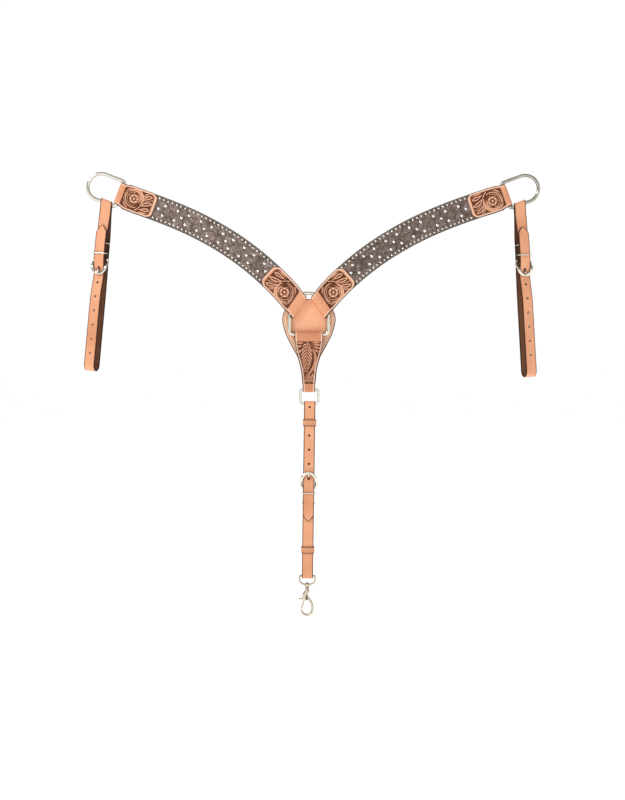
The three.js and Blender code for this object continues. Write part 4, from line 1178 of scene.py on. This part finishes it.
# ------------------------------------------------------------------ buckles
def buckle_frame(name, to_world, body):
    turn = np.radians(np.linspace(180, 360, 61))
    toe = np.column_stack([BUCKLE["half"] * np.cos(turn),
                           -BUCKLE["flat"] + (BUCKLE["toe"] - BUCKLE["flat"]) * np.sin(turn)])
    side = np.array([(16.8, -6), (15.8, -1.5), (13.6, 0)])
    outline = closed_line(np.vstack([toe, side, side[::-1] * (-1, 1)]), 0.8)
    back = smooth(outline[:, 1], -22, -1)
    points = at_depth(outline, BUCKLE["face"] + (BUCKLE["depth"] - BUCKLE["face"]) * back)
    to_bar = smooth(outline[:, 1], -5, -0.5) * (1 - smooth(np.abs(outline[:, 0]), 13, 15.5))
    band = BUCKLE["band"] + (BUCKLE["heel"] - BUCKLE["band"]) * to_bar
    thick = BUCKLE["thick"] + (BUCKLE["heel"] - BUCKLE["thick"]) * to_bar
    frame_bar = sweep(points, DEPTH_AXIS, np.column_stack([band, thick]), closed=True, facets=28, square=2.6)
    stand_in(name, *placed(to_world, *frame_bar), body, "nickel", [NICKEL])


def tongue(name, to_world, body):
    turn = np.radians(np.linspace(0, 360, 33)[:-1])
    bend = BUCKLE["heel"] + 1.3
    eye = np.column_stack([np.zeros(32), BUCKLE["depth"] + bend * np.cos(turn), bend * np.sin(turn)])
    eye_part = sweep(eye, ACROSS_AXIS, (0.95, 1.9), closed=True, facets=16, square=3)
    blade = spline(TONGUE_BLADE, 6)
    points = np.column_stack([np.zeros(len(blade)), blade[:, 1], blade[:, 0]])
    share = np.linspace(0, 1, len(blade))
    tip = np.sqrt(np.clip(1 - smooth(share, 0.93, 1.0) * 0.75, 0, 1))
    blade_part = sweep(points, ACROSS_AXIS, np.column_stack([1.6 * tip, 1.9 * tip]), facets=16, square=2.3)
    verts, faces = together([eye_part, blade_part])
    piece = make_piece(name, to_world(verts), faces, body, "nickel", [NICKEL])
    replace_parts(fuse(piece, 0.28), name)


def loop_round(half, front, back, corner, spacing, at):
    """Closed line round a strap, at a height along it."""
    corners = [(half, front), (half, back), (-half, back), (-half, front)]
    line = closed_line(rounded_outline([(*c, corner) for c in corners], 10), spacing)
    return np.column_stack([line, np.full(len(line), at)])


def wire_loop(name, loop, to_world, body):
    points = loop_round(loop["half"], loop["front"], loop["back"], 2.2, 1.0, loop["at"])
    wire = sweep(points, (0, 0, 1), (loop["wire"], loop["wire"]), closed=True, facets=20)
    stand_in(name, *placed(to_world, *wire), body, "nickel", [NICKEL])


def buckle_set(name, to_world, body, tongue_body, keeper_body):
    buckle_frame(f"{name}_buckle_frame", to_world, body)
    tongue(f"{name}_buckle_tongue", to_world, tongue_body)
    wire_loop(f"{name}_wire_keeper", KEEPER, to_world, keeper_body)
    wire_loop(f"{name}_chape_loop", CHAPE_LOOP, to_world, body)


def tug_heel(side):
    """Middle of a tug's heel bar: hung from its dee and leaning out."""
    sign, lean, tilt = side["sign"], math.radians(side["lean"]), math.radians(side["dee_tilt"])
    out = DEE["hang"] * math.cos(tilt) + DEE["half"] * math.sin(tilt)
    hang_x = side["dee"][0] + sign * out
    hang_z = side["dee"][1] + DEE["hang"] * math.sin(tilt) - DEE["half"] * math.cos(tilt)
    return hang_x + sign * math.sin(lean) * TUG["heel"], hang_z - math.cos(lean) * TUG["heel"]


def tug(name, side):
    sign, lean = side["sign"], side["lean"]
    turn = TUG["twist"] * sign
    to_world = turned(tug_heel(side), -lean if sign > 0 else lean, turn)
    skew = sign * math.tan(math.radians(side["dee_tilt"] - lean))

    def place(along, depth, across):
        z = along + across * skew * smooth(along, TUG["heel"] - 48, TUG["heel"] - 10)
        untwist = -math.radians(turn) * smooth(along, 50, TUG["heel"] - 12)
        cos, sin = np.cos(untwist), np.sin(untwist)
        return to_world(np.column_stack([across * cos - depth * sin, across * sin + depth * cos, z]))

    lower = side["length"] - TUG["heel"] - TUG["loop"] - STRAP["thickness"] / 2
    course = (TUG["heel"], DEE["wire"] + 0.8 + STRAP["thickness"] / 2, lower, TUG["loop"])
    strap = buckled_strap(f"{name}_tug_strap", course, place, f"{name}_tug")
    punch(strap, to_world, range(1, 7))
    buckle_set(f"{name}_tug", to_world, f"{name}_tug", f"{name}_tongue", f"{name}_wire_keeper")


def leather_keeper(name, at, to_world):
    half, depth, height, thickness = (LEATHER_KEEPER[k] for k in ("half", "depth", "height", "thickness"))
    points = loop_round(half, -depth, depth, 2.6, 1.2, at)
    facets = 40
    verts, faces = sweep(points, (0, 0, 1), (thickness / 2, height / 2), closed=True, facets=facets, square=9)
    from_edge = height / 2 - np.abs(verts[:, 2] - at)
    column = np.tile(np.arange(facets), len(points))
    painted = np.abs(np.sin(2 * np.pi * (column + 0.5) / facets)) > 0.93
    stand_in(name, *placed(to_world, verts, faces), name, "leather_strap", [STRAP_LEATHER, EDGE],
             painted.astype(int), {"near": np.minimum(from_edge, 2.3) * MM})


def centre_strap():
    lean = 180 + CENTRE["lean"]
    to_world = turned(CENTRE["heel"], lean)

    def place(along, depth, across):
        return to_world(np.column_stack([across, depth, along]))

    bend = 0.6 + STRAP["thickness"] / 2
    course = (CENTRE["to_eye"], SNAP["wire"] + bend, CENTRE["to_dee"], SMALL_DEE["wire"] + bend)
    strap = buckled_strap("centre_strap", course, place, "centre_strap")
    punch(strap, to_world, range(1, 6))
    buckle_set("centre", to_world, "centre_strap", "centre_tongue", "centre_wire_keeper")
    leather_keeper("centre_keeper_upper", LEATHER_KEEPER["upper"], to_world)
    leather_keeper("centre_keeper_lower", LEATHER_KEEPER["lower"], to_world)


# ------------------------------------------------------------------ swivel snap
def upright(profile):
    """Turned part about the snap's own upright axis, from (radius, z)."""
    return lathe(profile, 32)


def box(low, high):
    x_ends, y_ends, z_ends = zip(low, high)
    corners = np.array([(x, y, z) for x in x_ends for y in y_ends for z in z_ends])
    faces = [[0, 1, 3, 2], [4, 6, 7, 5], [0, 4, 5, 1], [2, 3, 7, 6], [0, 2, 6, 4], [1, 5, 7, 3]]
    return corners, facing_out(corners, faces)


def prism(outline, low, high):
    """Solid between two depths, from an outline of (x, z)."""
    count = len(outline)
    verts = np.array([(x, y, z) for y in (low, high) for x, z in outline])
    faces = [list(range(count)), list(range(count, 2 * count))[::-1]]
    faces += [[k, (k + 1) % count, (k + 1) % count + count, k + count] for k in range(count)]
    return verts, facing_out(verts, faces)


def snap_eye(to_world):
    half, boss, wire, up = SNAP["half"], SNAP["boss"], SNAP["wire"], SNAP["boss_half"]
    outline = rounded_outline([(half, 0, 4), (half, -15, 9), (4, boss, 3), (-4, boss, 3), (-half, -15, 9),
                               (-half, 0, 4)], 14)
    barrel = upright([(0, boss - up), (4.6, boss - up), (5.9, boss - 2.8), (6.0, boss), (5.9, boss + 2.8),
                      (4.8, boss + up), (0, boss + up)])
    verts, faces = together([flat_wire(outline, wire, 0.8), barrel])
    piece = fuse(make_piece("snap_eye", verts, faces, "snap_eye", "snap_metal", [CAST]), 0.32)
    cut_with(piece, [upright([(0, boss - 8), (2.85, boss - 8), (2.85, boss + 8), (0, boss + 8)])])
    move(piece, to_world)
    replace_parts(piece, "snap_eye")


def move(piece, to_world):
    """Takes a piece's mesh from the snap's own frame, in mm, to its place."""
    mesh = piece.data
    verts = np.empty(len(mesh.vertices) * 3)
    mesh.vertices.foreach_get("co", verts)
    mesh.vertices.foreach_set("co", (to_world(verts.reshape(-1, 3) * 1000) * MM).ravel())
    mesh.update()


def snap_body(to_world):
    boss, hook, ring, bar = (SNAP[k] for k in ("boss", "hook", "ring", "bar"))
    foot = boss + SNAP["boss_half"] + YOKE["gap"]
    head = upright([(0, foot), (4.2, foot), (4.2, foot + 1.0), (3.4, foot + 1.9), (1.8, foot + 2.3),
                    (0, foot + 2.35)])
    shank = upright([(0, -33.5), (2.4, -33.5), (2.4, foot + 0.5), (0, foot + 0.5)])
    collar = upright([(0, -38), (4.4, -38), (5.6, -36), (5.6, -33.2), (4.9, -32.0), (3.9, -31.3),
                      (4.9, -29.9), (4.9, -28.9), (3.7, -27.9), (4.4, -26.9), (4.4, -26.1), (3.6, -25.3),
                      (0, -25.2)])
    fork_z = np.linspace(-34, -55.5, 12)
    fork_points = at_depth(np.column_stack([-3.75 * smooth(-fork_z, 33, 42), fork_z]))
    fork_half = 4.8 + 2.4 * smooth(-fork_z, 34, 44)
    fork = sweep(fork_points, DEPTH_AXIS, np.column_stack([fork_half, np.full(12, 4.6)]), facets=40, square=4)
    curl = [(ring * math.cos(a), hook + ring * math.sin(a)) for a in np.radians(np.linspace(10, -178, 40))]
    line = np.vstack([spline([(0.6, -46), (3.4, -51), (6.8, -55.5), (10, -61), (11.9, -67)], 8), curl])
    taper = 1 - 0.12 * smooth(np.linspace(0, 1, len(line)), 0.7, 1.0)
    sizes = np.column_stack([bar * taper, (bar + 0.4) * taper])
    curve = sweep(at_depth(line), DEPTH_AXIS, sizes, facets=28, square=2.3)
    verts, faces = together([head, shank, collar, fork, curve])
    piece = make_piece("snap_body", verts, faces, "snap_body", "snap_metal", [CAST, DARK_SPOT_AND_RECESS_SHADE])
    fuse(piece, 0.32)
    dark = 1  # slot of the darker metal, which the cut faces take
    # The walls of the trigger's slot take the darker metal as painted shade.
    cut_with(piece, [box((-12.5, -2.45, -63), (1.5, 2.45, -41)), bored(1.55, 20, *PIVOT)], dark)
    # Shallow pocket in the front of the body, its walls in the darker metal as painted shade.
    recess = [(-0.6, -40.5), (-3.2, -45.5), (-3.9, -51.5), (-1.2, -54), (2.2, -52.5), (1.0, -46.5)]
    cut_with(piece, [prism(recess, -6, -3.4)], dark)
    move(piece, to_world)
    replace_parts(piece, "snap_body")


def snap_trigger(to_world):
    gate_line = spline([(-6, -47.6), (-6.6, -53), (-8.4, -61), (-10.6, -68), (-12.4, -74.2)], 8)
    gate = sweep(at_depth(gate_line), DEPTH_AXIS, (2.0, 2.05), facets=20, square=2.6)
    thumb_line = spline([(-6, -50), (-10, -50.8), (-14, -51.8), (-18.2, -53)], 6)
    pad = 1.7 + 0.7 * smooth(-thumb_line[:, 0], 13, 17)
    thumb = sweep(at_depth(thumb_line), DEPTH_AXIS, np.column_stack([pad, np.full(len(pad), 2.05)]),
                  facets=20, square=2.6)
    verts, faces = together([gate, thumb, bored(3.0, 4.1, *PIVOT)])
    piece = make_piece("snap_trigger", verts, facing_out(verts, faces), "snap_trigger", "snap_metal", [CAST])
    fuse(piece, 0.26, 3)
    cut_with(piece, [bored(1.6, 20, *PIVOT)])
    move(piece, to_world)
    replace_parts(piece, "snap_trigger")


def snap_pin(to_world):
    rivet, faces = lathe([(0, -4.9), (1.0, -4.9), (1.45, -4.6), (1.45, 4.6), (1.0, 4.9), (0, 4.9)])
    lying = np.column_stack([rivet[:, 0], -rivet[:, 2], rivet[:, 1]]) + PIVOT
    stand_in("snap_pin", to_world(lying), faces, "snap_body", "nickel", [NICKEL])


def snap_spring(to_world):
    t = np.linspace(0, 1, 73)
    turns = 6 * np.pi * t
    coil = np.column_stack([-2.4 + 3.4 * t, 1.3 * np.cos(turns), -54.4 + 1.3 * np.sin(turns)])
    wire = sweep(coil, ACROSS_AXIS, (0.35, 0.35), facets=10)
    stand_in("snap_spring", *placed(to_world, *wire), "snap_body", "snap_metal", [CAST])


def snap():
    lean, (x, z) = math.radians(CENTRE["lean"]), CENTRE["heel"]
    foot = (x - CENTRE["to_eye"] * math.sin(lean), z - CENTRE["to_eye"] * math.cos(lean))
    to_world = turned(foot, CENTRE["lean"])
    for build in (snap_eye, snap_body, snap_trigger, snap_pin, snap_spring):
        build(to_world)


# ------------------------------------------------------------------ studio
VIEW = dict(distance=3.0, height_seen=1.792, x=0.0081, z=-0.239)  # metres
FLAG = dict(azimuth=0.75, half=0.18, level=0.22)  # dark flags beside the front: radians, and brightness
FLOOR = dict(reach=30.0, z=-0.79, glow=0.5)  # metres, and strength of its glow
AIM = (0, 0, -0.2)  # what the lamps point at, in metres
LIGHTS = [("key", (-1.9, -1.9, 1.7), 1.0, 36), ("fill", (2.2, -1.8, 0.3), 1.6, 5),
          ("back", (0.6, 1.8, 1.6), 1.4, 14)]  # place and size in metres, power in watts
WHITE = (1, 1, 1, 1)


def camera():
    """Looks straight at the front."""
    data = bpy.data.cameras.new("camera")
    data.sensor_width = 36
    data.lens = data.sensor_width * VIEW["distance"] / VIEW["height_seen"]
    data.dof.use_dof = False
    eye = link_object("camera", data)
    eye.location = (VIEW["x"], -VIEW["distance"], VIEW["z"])
    eye.rotation_euler = (math.radians(90), 0, 0)
    bpy.context.scene.camera = eye


def area_light(name, location, size, power):
    """Round lamp that points near the collar's middle."""
    data = bpy.data.lights.new(name, "AREA")
    data.shape = "DISK"
    data.size = size
    data.energy = power
    lamp = link_object(name, data)
    lamp.location = location
    gaze = np.array(AIM) - np.array(location)
    flat = math.hypot(gaze[0], gaze[1])
    lamp.rotation_euler = (math.atan2(flat, -gaze[2]), 0, math.atan2(-gaze[0], gaze[1]))


def backdrop():
    """White at the horizon and below it. Above, darker flags stand either side of the front, and it dims
    overhead and towards the front."""
    world = bpy.data.worlds.new("studio")
    world.use_nodes = True
    bpy.context.scene.world = world
    nodes = Nodes(world.node_tree)
    split = nodes.add("SeparateXYZ")
    nodes.link(nodes.add("TexCoord").outputs["Generated"], split.inputs[0])
    x, y, z = split.outputs
    azimuth = nodes.maths("ABSOLUTE", nodes.maths("ARCTAN2", x, nodes.maths("MULTIPLY", y, -1.0)))
    off_flag = nodes.maths("ABSOLUTE", nodes.maths("SUBTRACT", azimuth, FLAG["azimuth"]))
    flags = nodes.ramp(off_flag, FLAG["half"], FLAG["half"] + 0.12, FLAG["level"], 1.0)
    ceiling = nodes.ramp(z, 0.35, 0.55, 1.0, 0.72)
    above = nodes.maths("MULTIPLY", flags, ceiling)
    walls = nodes.maths("MULTIPLY", above, nodes.ramp(y, -0.5, 0.6, 0.74, 1.02))
    shade = nodes.maths("MULTIPLY", nodes.maths("SUBTRACT", 1.0, walls), nodes.ramp(z, 0.03, 0.09, 0.0, 1.0))
    level = nodes.maths("SUBTRACT", 1.0, shade)
    background = world.node_tree.nodes["Background"].inputs
    background["Color"].default_value = WHITE
    nodes.link(level, background["Strength"])


def pale_floor():
    mesh = bpy.data.meshes.new("floor")
    reach, low = FLOOR["reach"], FLOOR["z"]
    corners = [(-reach, -reach, low), (reach, -reach, low), (reach, reach, low), (-reach, reach, low)]
    mesh.from_pydata(corners, [], [(0, 1, 2, 3)])
    pale = plain("pale floor", (0.92, 0.92, 0.92, 1), 0.9)
    glow = pale.node_tree.nodes["Principled BSDF"].inputs
    glow["Emission Color"].default_value = WHITE
    glow["Emission Strength"].default_value = FLOOR["glow"]
    mesh.materials.append(pale)
    link_object("floor", mesh)


def studio():
    backdrop()
    pale_floor()
    for light in LIGHTS:
        area_light(*light)
    bpy.context.scene.view_settings.view_transform = "Standard"


# ------------------------------------------------------------------ the whole collar
centre_ring()
ring_backer()
drop_front()
small_dee()
for side_name, side_facts in SIDES.items():
    yoke(side_name, side_facts)
    dee(side_name, side_facts)
    tug(side_name, side_facts)
centre_strap()
snap()
camera()
studio()
